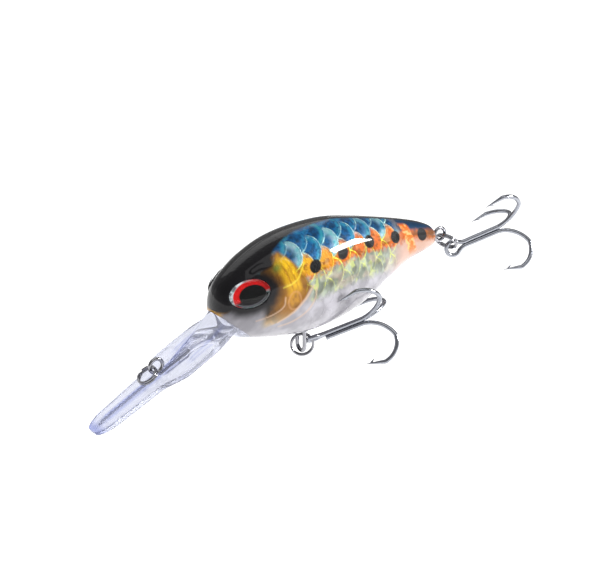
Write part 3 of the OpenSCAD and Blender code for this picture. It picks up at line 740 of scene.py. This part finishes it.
def cut_below_seat(obj):
    """Takes away what is above the seat plane and closes the cut."""
    work = bmesh.new()
    work.from_mesh(obj.data)
    normal = Vector((math.sin(math.radians(SEAT_ANGLE)), 0, math.cos(math.radians(SEAT_ANGLE))))
    at = Vector((SEAT_FRONT[0], 0, SEAT_FRONT[1] - GLUE)) * MM
    everything = work.verts[:] + work.edges[:] + work.faces[:]
    made = bmesh.ops.bisect_plane(work, geom=everything, plane_co=at, plane_no=normal, clear_outer=True,
                                  dist=1e-8)
    rim = [e for e in made["geom_cut"] if isinstance(e, bmesh.types.BMEdge)]
    bmesh.ops.holes_fill(work, edges=rim, sides=0)
    work.to_mesh(obj.data)
    work.free()


def build_bill(name):
    """Plate and chin as one solid, with the tint stronger along the rib and at the root."""
    blade = make_mesh(name, *blade_parts())
    chin = make_mesh(name + "_chin", *chin_parts())
    union = blade.modifiers.new("union", "BOOLEAN")
    union.operation = "UNION"
    union.solver = "EXACT"
    union.object = chin
    solid = bpy.data.meshes.new_from_object(blade.evaluated_get(bpy.context.evaluated_depsgraph_get()))
    blade.modifiers.clear()
    blade.data = solid
    bpy.data.objects.remove(chin)
    cut_below_seat(blade)
    weld(blade)
    solid.polygons.foreach_set("use_smooth", np.ones(len(solid.polygons), bool))
    solid.set_sharp_from_angle(angle=math.radians(38))
    co = np.empty(len(solid.vertices) * 3)
    solid.vertices.foreach_get("co", co)
    p = co.reshape(-1, 3) / MM - np.array([BILL_ROOT[0], 0, BILL_ROOT[1]])
    along = -turn_y(p, BILL_ANGLE)[:, 0]
    across = np.abs(p[:, 1])
    tint = np.exp(-(across / 0.75) ** 2) * band(2, 27.5, 2, along)
    tint = tint + 0.8 * np.exp(-((along - 30) / 1.6) ** 2)
    tint = np.maximum(tint, 0.8 * np.exp(-((across - 3.1) / 0.3) ** 2) * band(-4, 6, 1.5, along))
    set_layer(blade, "tint", tint.clip(0, 1))
    return blade


# ---------------------------------------------------------------- rings, wires and hooks

RING_COILS = 1.96
RING_STEPS = 150
BEND_STEPS = 30
BEND_END = 82.0
FLARE = 0.35
POINT_LEAN = 0.28
BARB_L = 1.15
BARB_RISE = 0.78
BARB_R = 0.3
LOOP_FROM = 38.0
LOOP_STEPS = 16
PATH_STEPS = 4


def ring_path(od):
    """A split ring about Z: two coils side by side, with one slanting step from the first to the second."""
    t = np.linspace(0, RING_COILS * 2 * math.pi, int(RING_STEPS * RING_COILS))
    r = (od - RING_WIRE) / 2
    rise = smooth(2 * math.pi - 0.45, 2 * math.pi + 0.35, t) * 2 - 1
    return np.stack([r * np.cos(t), r * np.sin(t), rise * RING_WIRE * 0.47], -1)


def build_ring(name, od, place, centre, start):
    """A split ring of round wire with flat ends, its first end at the angle start."""
    path = ring_path(od)
    c, s = math.cos(math.radians(start)), math.sin(math.radians(start))
    path = np.stack([c * path[:, 0] - s * path[:, 1], s * path[:, 0] + c * path[:, 1], path[:, 2]], -1)
    axis = place @ np.array([0, 0, 1.0])
    points, faces = sweep(path @ np.asarray(place).T + centre, RING_WIRE * 0.492, axis, 14)
    return make_mesh(name, points, faces)


def limb(side_angle):
    """The path of one hook of a treble along X, side_angle round X, and its direction away from the shank:
    a straight leg, a round bend and a straight point."""
    a = math.radians(side_angle)
    out = np.array([0, math.sin(a), math.cos(a)])
    bend = np.radians(-90 + (BEND_END + 90) * np.arange(1, BEND_STEPS + 1) / BEND_STEPS)
    flare = 4 * np.cos(np.clip(bend + math.pi / 2, 0, math.pi / 2))
    along = np.concatenate([[LEG_FROM, 5.0, HOOK_L - 4], HOOK_L - FLARE * flare + BEND_R * np.cos(bend)])
    off = np.concatenate([[SPREAD] * 3, SPREAD + BEND_R * (1 + np.sin(bend))])
    end = math.radians(BEND_END)
    k = np.arange(1, 5)
    along = np.concatenate([along, HOOK_L + BEND_R * math.cos(end) - k * (POINT_L + 0.6) / 4])
    off = np.concatenate([off, SPREAD + BEND_R * (1 + math.sin(end)) - POINT_LEAN * k])
    return along[:, None] * np.array([1.0, 0, 0]) + off[:, None] * out, out


def limb_radii(count):
    """Wire radius along a limb of count points: full to the end of the bend, then down to the point."""
    k = np.linspace(0, count - 1, (count - 1) * PATH_STEPS + 1)
    into = np.clip(k - (count - 5), 0, 4)
    return HOOK_WIRE / 2 * (1 - 0.22 * into ** 1.08)


def barb(side_angle):
    """A small spur behind the point, on the side of the leg, aimed back at the bend."""
    path, out = limb(side_angle)
    base = path[-1] + 0.42 * (path[-4] - path[-1])
    back = np.array([1.0, 0, 0])
    t = np.linspace(0, 1, 8)[:, None]
    line = base - 0.05 * out + t * (BARB_L * back - BARB_RISE * out)
    return sweep(line, BARB_R * (1 - 0.93 * t[:, 0]), np.cross(out, back), 10, 0.6)


def build_hook_single(name, place, at):
    """The third hook: a leg with a blunt brazed end, the bend, the point and its barb."""
    path = limb(0)[0]
    tube = sweep(smooth_path(path, PATH_STEPS), limb_radii(len(path)), (0, 1, 0), 20)
    return make_mesh(name, *place_parts([tube, barb(0)], place, at))


def build_hook_pair(name, place, at):
    """Two hooks of one wire: out along one limb, round the eye and back along the other."""
    one, two = limb(120)[0], limb(240)[0]
    t = np.radians(np.linspace(LOOP_FROM, 360 - LOOP_FROM, LOOP_STEPS + 1))
    loop = np.stack([EYE_MID_R * np.cos(t), EYE_MID_R * np.sin(t), np.full(len(t), -SPREAD / 2)], -1)
    path = smooth_path(np.concatenate([one[::-1], loop, two]), PATH_STEPS)
    radii = limb_radii(len(one))
    middle = np.full(len(path) - 2 * len(radii), HOOK_WIRE / 2)
    tube = sweep(path, np.concatenate([radii[::-1], middle, radii]), (0.05, 0.1, 1), 20)
    return make_mesh(name, *place_parts([tube, barb(120), barb(240)], place, at))


def place_parts(parts, place, at):
    """The parts joined, turned and moved."""
    points, faces = join_parts(parts)
    return points @ np.asarray(place).T + np.asarray(at), faces


# ---------------------------------------------------------------- materials

GRAIN_PER_M = 900.0
RELIEF_DEPTH = 0.00035


def new_material(name, color, metallic=0.0, roughness=0.3, transmission=0.0, ior=1.5):
    """A node material with one Principled surface; colour and gloss vary a little over the object."""
    material = bpy.data.materials.new(name)
    material.use_nodes = True
    nodes, links = material.node_tree.nodes, material.node_tree.links
    surface = nodes["Principled BSDF"]
    surface.inputs["Metallic"].default_value = metallic
    surface.inputs["Transmission Weight"].default_value = transmission
    surface.inputs["IOR"].default_value = ior
    place = nodes.new("ShaderNodeTexCoord")
    noise = nodes.new("ShaderNodeTexNoise")
    noise.inputs["Scale"].default_value = GRAIN_PER_M
    noise.inputs["Detail"].default_value = 3.0
    links.new(place.outputs["Object"], noise.inputs["Vector"])
    ramp = nodes.new("ShaderNodeValToRGB")
    color = [float(v) for v in color]
    low, high = ramp.color_ramp.elements
    low.position, high.position = 0.3, 0.7
    low.color = [v * 0.9 for v in color] + [1]
    high.color = [min(1.0, v * 1.06) for v in color] + [1]
    links.new(noise.outputs["Fac"], ramp.inputs["Fac"])
    links.new(ramp.outputs["Color"], surface.inputs["Base Color"])
    rough = nodes.new("ShaderNodeMapRange")
    rough.inputs["To Min"].default_value = roughness * 0.8
    rough.inputs["To Max"].default_value = roughness * 1.2
    links.new(noise.outputs["Fac"], rough.inputs["Value"])
    links.new(rough.outputs["Result"], surface.inputs["Roughness"])
    return material


def use_attribute(material, socket, layer, low=0.0, high=1.0, color=False):
    """Feeds a mesh attribute to a socket of the surface, mapped from 0..1 to low..high if it is a number."""
    nodes, links = material.node_tree.nodes, material.node_tree.links
    surface = nodes["Principled BSDF"]
    value = nodes.new("ShaderNodeAttribute")
    value.attribute_name = layer
    if color:
        links.new(value.outputs["Color"], surface.inputs[socket])
        return
    span = nodes.new("ShaderNodeMapRange")
    span.inputs["To Min"].default_value = low
    span.inputs["To Max"].default_value = high
    links.new(value.outputs["Fac"], span.inputs["Value"])
    links.new(span.outputs["Result"], surface.inputs[socket])


def paint_material(name, gloss):
    """The painted body: colours of the flank under a smooth clear coat, the scales as a fine relief."""
    material = new_material(name, (0.5, 0.5, 0.5), roughness=gloss)
    nodes, links = material.node_tree.nodes, material.node_tree.links
    surface = nodes["Principled BSDF"]
    use_attribute(material, "Base Color", "paint", color=True)
    use_attribute(material, "Metallic", "metal", 0.0, 0.25)
    relief = nodes.new("ShaderNodeAttribute")
    relief.attribute_name = "relief"
    bump = nodes.new("ShaderNodeBump")
    bump.inputs["Strength"].default_value = 0.7
    bump.inputs["Distance"].default_value = RELIEF_DEPTH
    links.new(relief.outputs["Fac"], bump.inputs["Height"])
    links.new(bump.outputs["Normal"], surface.inputs["Normal"])
    surface.inputs["Coat Weight"].default_value = 1.0
    surface.inputs["Coat Roughness"].default_value = 0.015
    surface.inputs["Coat IOR"].default_value = 1.3
    surface.inputs["Specular IOR Level"].default_value = 0.15
    return material


def clear_material(name, tint, roughness=0.02, ior=1.45, clearness=1.0):
    """Clear plastic with a slight tint; shadows let most of the light through."""
    material = new_material(name, tint, roughness=roughness, transmission=clearness, ior=ior)
    nodes, links = material.node_tree.nodes, material.node_tree.links
    surface = nodes["Principled BSDF"]
    through = nodes.new("ShaderNodeBsdfTransparent")
    through.inputs["Color"].default_value = [0.93, 0.93, 0.96, 1]
    kind = nodes.new("ShaderNodeLightPath")
    blend = nodes.new("ShaderNodeMixShader")
    links.new(kind.outputs["Is Shadow Ray"], blend.inputs["Fac"])
    links.new(surface.outputs["BSDF"], blend.inputs[1])
    links.new(through.outputs["BSDF"], blend.inputs[2])
    links.new(blend.outputs["Shader"], nodes["Material Output"].inputs["Surface"])
    return material


def finish_piece(obj, body, slot, material, *nodes):
    """Gives a piece its material, ties it to its body and hides the solids it stands for; slot is not used.
    """
    obj.data.materials.clear()
    obj.data.materials.append(material)
    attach(obj, body)
    if nodes:
        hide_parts(*nodes)


def paint_node(node, material):
    """Puts a material on every slot of a solid that keeps its own mesh."""
    obj = bpy.data.objects[node]
    if not obj.material_slots:
        obj.data.materials.append(material)
    for held in obj.material_slots:
        held.material = material


# ---------------------------------------------------------------- settings

def color_property(name, description, value):
    """A colour picked on screen."""
    return FloatVectorProperty(name=name, description=description, subtype="COLOR", size=3, min=0, max=1,
                               default=value)


def share_property(name, description, value):
    """A number from 0 to 1."""
    return FloatProperty(name=name, description=description, default=value, min=0, max=1)


class LURE_PG_paint(bpy.types.PropertyGroup):
    """Colours of the body and eyes."""

    back: color_property("Back", "Black of the back and head", (0.03, 0.02, 0.045))
    blue: color_property("Blue", "Scales under the back", (0.03, 0.4, 0.64))
    teal: color_property("Teal", "Shine on the blue scales", (0.25, 0.74, 0.78))
    gold: color_property("Gold", "Stripes of the gill cover", (0.98, 0.78, 0.12))
    amber: color_property("Amber", "Shadows of the gill cover and tail", (0.72, 0.38, 0.07))
    orange: color_property("Orange", "Scales along the lateral line", (0.88, 0.42, 0.05))
    pearl: color_property("Pearl", "Belly", (0.69, 0.68, 0.71))
    clear: color_property("Clear", "Clear lower flank", (0.63, 0.67, 0.6))
    tail_pink: color_property("Tail pink", "Lower side of the tail", (0.8, 0.62, 0.52))
    scale_line: color_property("Scale line", "Edges of the scales", (0.75, 0.95, 0.9))
    iris: color_property("Iris", "Red of the eye", (0.72, 0.05, 0.05))
    gloss: share_property("Roughness", "Roughness under the clear coat", 0.42)


class LURE_PG_metal(bpy.types.PropertyGroup):
    """Colours and gloss of the bill, wires, rings and hooks."""

    bill: color_property("Bill", "Tint of the clear bill", (0.85, 0.86, 0.91))
    nickel: color_property("Nickel", "Split rings", (0.58, 0.58, 0.6))
    steel: color_property("Steel", "Line tie and hangers", (0.6, 0.6, 0.62))
    hook: color_property("Hook", "Black nickel of the hooks", (0.6, 0.61, 0.64))
    ring_roughness: share_property("Ring roughness", "Roughness of the rings and wires", 0.1)
    hook_roughness: share_property("Hook roughness", "Roughness of the hooks", 0.2)


class LURE_PG_stage(bpy.types.PropertyGroup):
    """Lights and camera."""

    sky: FloatProperty(name="Sky", description="Strength of the surroundings", default=0.3, min=0)
    key: FloatProperty(name="Key light", description="Power of the large light", default=0.6, min=0,
                       unit="POWER")
    glint: FloatProperty(name="Glint light", description="Power of the long narrow light", default=1.1, min=0,
                         unit="POWER")
    glow: FloatProperty(name="Floor glow", description="Light given by the floor itself", default=0.72, min=0)
    distance: FloatProperty(name="Camera distance", description="From the camera to the lure", default=0.45,
                            min=0.1, unit="LENGTH")
    yaw: FloatProperty(name="Camera yaw", description="Turn of the camera toward the tail",
                       default=math.radians(36), subtype="ANGLE")
    rise: FloatProperty(name="Camera elevation", description="Angle of the camera above level",
                        default=math.radians(20.5), subtype="ANGLE")
    floor_z: FloatProperty(name="Floor", description="Height of the floor", default=-0.1, unit="LENGTH")


# ---------------------------------------------------------------- operators

class LURE_OT_body(bpy.types.Operator):
    """Adds the two painted halves of the body"""

    bl_idname = "lure.body"
    bl_label = "Painted body"

    def execute(self, context):
        props = context.scene.lure_paint
        paint = paint_material("Painted body", props.gloss)
        for side, word in ((-1, "left"), (1, "right")):
            skin = build_shell(word + "_skin", side, props)
            finish_piece(skin, "lure", "clear_shell", paint, word + "_shell")
        return {"FINISHED"}


class LURE_OT_eyes(bpy.types.Operator):
    """Adds the printed eye discs and their clear domes"""

    bl_idname = "lure.eyes"
    bl_label = "Eyes"

    def execute(self, context):
        props = context.scene.lure_paint
        printed = new_material("Eye print", (0.5, 0.5, 0.5), roughness=0.3)
        printed.node_tree.nodes["Principled BSDF"].inputs["Specular IOR Level"].default_value = 0.1
        use_attribute(printed, "Base Color", "paint", color=True)
        dome = clear_material("Eye dome", (0.98, 0.99, 1.0), 0.01, 1.3)
        for side, word in ((-1, "left"), (1, "right")):
            disc = build_eye_print(word + "_eye_print", side, props)
            finish_piece(disc, "lure", "eye_print", printed, word + "_eye_cup")
            lens = build_eye_dome(word + "_eye_dome", side)
            finish_piece(lens, "lure", "clear_lens", dome, word + "_eye_lens")
        return {"FINISHED"}


class LURE_OT_bill(bpy.types.Operator):
    """Adds the clear bill with its chin"""

    bl_idname = "lure.bill"
    bl_label = "Diving bill"

    def execute(self, context):
        props = context.scene.lure_metal
        clear = clear_material("Clear bill", linear(props.bill), 0.07, 1.4, 0.8)
        nodes, links = clear.node_tree.nodes, clear.node_tree.links
        tint = nodes.new("ShaderNodeAttribute")
        tint.attribute_name = "tint"
        ramp = nodes.new("ShaderNodeValToRGB")
        for stop, color in zip(ramp.color_ramp.elements, (props.bill, (0.56, 0.6, 0.82))):
            stop.color = [float(v) for v in linear(color)] + [1]
        links.new(tint.outputs["Fac"], ramp.inputs["Fac"])
        links.new(ramp.outputs["Color"], nodes["Principled BSDF"].inputs["Base Color"])
        finish_piece(build_bill("bill_blade"), "lure", "clear_bill", clear, "diving_bill")
        return {"FINISHED"}


class LURE_OT_rings(bpy.types.Operator):
    """Adds the three split rings and brightens the wire eyes"""

    bl_idname = "lure.rings"
    bl_label = "Split rings and wires"

    def execute(self, context):
        props = context.scene.lure_metal
        nickel = new_material("Bright nickel", linear(props.nickel), 1.0, props.ring_roughness)
        steel = new_material("Bright steel", linear(props.steel), 1.0, props.ring_roughness)
        tie_r = (TIE_RING_OD - RING_WIRE) / 2
        lean = turn_matrix((0, -TIE_RING_LEAN, 0))
        tie = build_ring("line_tie_split_ring", TIE_RING_OD, lean, lean @ [-TIE_SLACK - tie_r, 0, 0], 100)
        finish_piece(tie, "line_tie_ring", "nickel_ring", nickel, "line_tie_ring")
        place = turn_matrix((90, 0, -BELLY_RING_TURN))
        belly = build_ring("belly_split_ring", RING_OD, place, BELLY_RING_AT, 200)
        finish_piece(belly, "belly_ring", "nickel_ring", nickel, "belly_ring")
        place = turn_matrix((0, TAIL_RING_DOWN, 0)) @ turn_matrix((TAIL_RING_TWIST, 0, 0))
        tail = build_ring("tail_split_ring", RING_OD, place, TAIL_RING_AT, 120)
        finish_piece(tail, "tail_ring", "nickel_ring", nickel, "tail_ring")
        for node in ("line_tie_eye", "belly_hanger", "tail_hanger", "bill_pin"):
            paint_node(node, steel)
        return {"FINISHED"}


class LURE_OT_hooks(bpy.types.Operator):
    """Adds the two treble hooks, each a bent pair and a brazed single"""

    bl_idname = "lure.hooks"
    bl_label = "Treble hooks"

    def execute(self, context):
        props = context.scene.lure_metal
        plate = new_material("Black nickel", linear(props.hook), 1.0, props.hook_roughness)
        for word, turn, at in (("belly", BELLY_HOOK_TURN, BELLY_HOOK_AT),
                               ("tail", TAIL_HOOK_TURN, TAIL_HOOK_AT)):
            place = turn_matrix(turn)
            pair = build_hook_pair(word + "_double_hook", place, at)
            finish_piece(pair, word + "_hook", "black_nickel", plate, word + "_hook_pair")
            single = build_hook_single(word + "_third_hook", place, at)
            finish_piece(single, word + "_hook", "black_nickel", plate, word + "_hook_single")
        return {"FINISHED"}


class LURE_OT_inside(bpy.types.Operator):
    """Gives the foils, ballast, chamber and balls inside the body their finishes"""

    bl_idname = "lure.inside"
    bl_label = "Inside pieces"

    def execute(self, context):
        foil = new_material("Scale foil", linear((0.86, 0.55, 0.16)), 0.8, 0.25)
        lead = new_material("Lead", linear((0.35, 0.35, 0.37)), 0.9, 0.55)
        ball = new_material("Ball steel", linear((0.75, 0.75, 0.77)), 1.0, 0.08)
        tube = clear_material("Clear tube", (0.95, 0.95, 0.97))
        for material, nodes in ((foil, ("left_scale_foil", "right_scale_foil")), (lead, ("belly_weight",)),
                                (ball, ("rattle_ball_front", "rattle_ball_rear")), (tube, ("rattle_tube",))):
            for node in nodes:
                paint_node(node, material)
        return {"FINISHED"}


FLOOR_HALF = 3.0
GLOW_FROM, GLOW_TO = 0.25, 1.2
GLOW_RISE = 0.6
AIM = (0.0415, 0.0, 0.0105)
LENS_MM, SENSOR_MM = 124.7, 36.0
LENS_SHIFT = (-0.03, -0.028)
KEY_SIZE, KEY_AT = (0.5, 0.35), (0.02, -0.25, 0.5)
RIM_SIZE, RIM_AT = (0.6, 0.3), (0.12, 0.35, 0.42)
RIM_SHARE = 1.2
GLINT_SIZE = (0.11, 0.05)
GLINT_DISTANCE = 0.32
GLINT_SPOT = (31.0, 37.0)


def area_light(name, power, size, at, aim):
    """A rectangular light at a point in metres, aimed at another."""
    data = bpy.data.lights.new(name, "AREA")
    data.shape = "RECTANGLE"
    data.size, data.size_y = size
    data.energy = power
    obj = bpy.data.objects.new(name, data)
    bpy.context.scene.collection.objects.link(obj)
    obj.location = at
    obj.rotation_euler = (Vector(aim) - Vector(at)).to_track_quat("-Z", "Y").to_euler()
    return obj


def flank_point(x, angle):
    """A point of the left flank x behind the nose and its outward normal, from steps along the hull."""
    turn = np.degrees(np.arccos(1 - 2 * x / BODY_L))
    at = hull(turn, angle, -1)
    normal = np.cross(hull(turn + 0.1, angle, -1) - at, hull(turn, angle + 0.1, -1) - at)
    return at, normal / np.linalg.norm(normal) * -np.sign(normal[1])


def white_room(scene, strength):
    """Even white light from everywhere."""
    world = bpy.data.worlds.new("White room")
    world.use_nodes = True
    world.node_tree.nodes["Background"].inputs["Color"].default_value = [1, 1, 1, 1]
    world.node_tree.nodes["Background"].inputs["Strength"].default_value = strength
    scene.world = world


def paper_floor(scene, height, glow):
    """A white floor that gives some light of its own, more of it further from the lure."""
    h = FLOOR_HALF
    mesh = bpy.data.meshes.new("floor")
    mesh.from_pydata([(-h, -h, height), (h, -h, height), (h, h, height), (-h, h, height)], [], [(0, 1, 2, 3)])
    floor = bpy.data.objects.new("floor", mesh)
    scene.collection.objects.link(floor)
    paper = new_material("Paper", (0.94, 0.94, 0.94), 0.0, 0.9)
    nodes, links = paper.node_tree.nodes, paper.node_tree.links
    surface = nodes["Principled BSDF"]
    surface.inputs["Emission Color"].default_value = [1, 1, 1, 1]
    place, length, span = (nodes.new("ShaderNode" + kind) for kind in ("TexCoord", "VectorMath", "MapRange"))
    length.operation = "LENGTH"
    span.inputs["From Min"].default_value, span.inputs["From Max"].default_value = GLOW_FROM, GLOW_TO
    span.inputs["To Min"].default_value, span.inputs["To Max"].default_value = glow, glow + GLOW_RISE
    links.new(place.outputs["Object"], length.inputs[0])
    links.new(length.outputs["Value"], span.inputs["Value"])
    links.new(span.outputs["Result"], surface.inputs["Emission Strength"])
    mesh.materials.append(paper)
    return floor


def aimed_camera(scene, toward, distance):
    """The camera at a distance from the lure, the way that toward points, looking back along it."""
    data = bpy.data.cameras.new("Camera")
    data.lens, data.sensor_width = LENS_MM, SENSOR_MM
    data.shift_x, data.shift_y = LENS_SHIFT
    data.clip_start, data.clip_end = 0.01, 20.0
    camera = bpy.data.objects.new("Camera", data)
    scene.collection.objects.link(camera)
    camera.location = Vector(AIM) + distance * toward
    camera.rotation_euler = (-toward).to_track_quat("-Z", "Y").to_euler()
    scene.camera = camera
    return camera


class LURE_OT_stage(bpy.types.Operator):
    """Adds the floor, the white surroundings, the lights and the camera"""

    bl_idname = "lure.stage"
    bl_label = "Stage"

    def execute(self, context):
        props = context.scene.lure_stage
        scene = context.scene
        white_room(scene, props.sky)
        floor = paper_floor(scene, props.floor_z, props.glow)
        level = math.cos(props.rise)
        toward = Vector((-math.sin(props.yaw) * level, -math.cos(props.yaw) * level, math.sin(props.rise)))
        camera = aimed_camera(scene, toward, props.distance)
        key = area_light("Key", props.key, KEY_SIZE, KEY_AT, AIM)
        # The narrow light stands where the flank mirrors it to the camera
        spot, normal = flank_point(*GLINT_SPOT)
        back = 2 * normal * float(np.dot(normal, toward)) - np.array(toward)
        glint = area_light("Glint", props.glint, GLINT_SIZE, spot * MM + GLINT_DISTANCE * back, spot * MM)
        rim = area_light("Rim", props.key * RIM_SHARE, RIM_SIZE, RIM_AT, AIM)
        scene.view_settings.view_transform = "Standard"
        return {"FINISHED"}


class LURE_PT_panel(bpy.types.Panel):
    """The lure's tab in the sidebar"""

    bl_label = "Crankbait Lure"
    bl_idname = "LURE_PT_panel"
    bl_space_type = "VIEW_3D"
    bl_region_type = "UI"
    bl_category = "Lure"

    def draw(self, context):
        for group in ("lure_paint", "lure_metal", "lure_stage"):
            box = self.layout.box()
            for key in getattr(context.scene, group).bl_rna.properties.keys():
                if key not in ("rna_type", "name"):
                    box.prop(getattr(context.scene, group), key)
        for operator in OPERATORS:
            self.layout.operator(operator.bl_idname)


GROUPS = {"lure_paint": LURE_PG_paint, "lure_metal": LURE_PG_metal, "lure_stage": LURE_PG_stage}
OPERATORS = (LURE_OT_body, LURE_OT_eyes, LURE_OT_bill, LURE_OT_rings, LURE_OT_hooks, LURE_OT_inside,
             LURE_OT_stage)


def register():
    """Registers the settings, the operators and the panel."""
    for group in GROUPS.values():
        bpy.utils.register_class(group)
    for name, group in GROUPS.items():
        setattr(bpy.types.Scene, name, PointerProperty(type=group))
    for item in OPERATORS + (LURE_PT_panel,):
        bpy.utils.register_class(item)


def unregister():
    """Takes them away again."""
    for item in (LURE_PT_panel,) + OPERATORS[::-1]:
        bpy.utils.unregister_class(item)
    for name in GROUPS:
        delattr(bpy.types.Scene, name)
    for group in reversed(list(GROUPS.values())):
        bpy.utils.unregister_class(group)


def main():
    """Builds every piece in order."""
    register()
    for build in (bpy.ops.lure.body, bpy.ops.lure.eyes, bpy.ops.lure.bill, bpy.ops.lure.rings,
                  bpy.ops.lure.hooks, bpy.ops.lure.inside, bpy.ops.lure.stage):
        if build() != {"FINISHED"}:
            raise RuntimeError("a piece was not built: " + str(build))


if __name__ == "__main__":
    main()
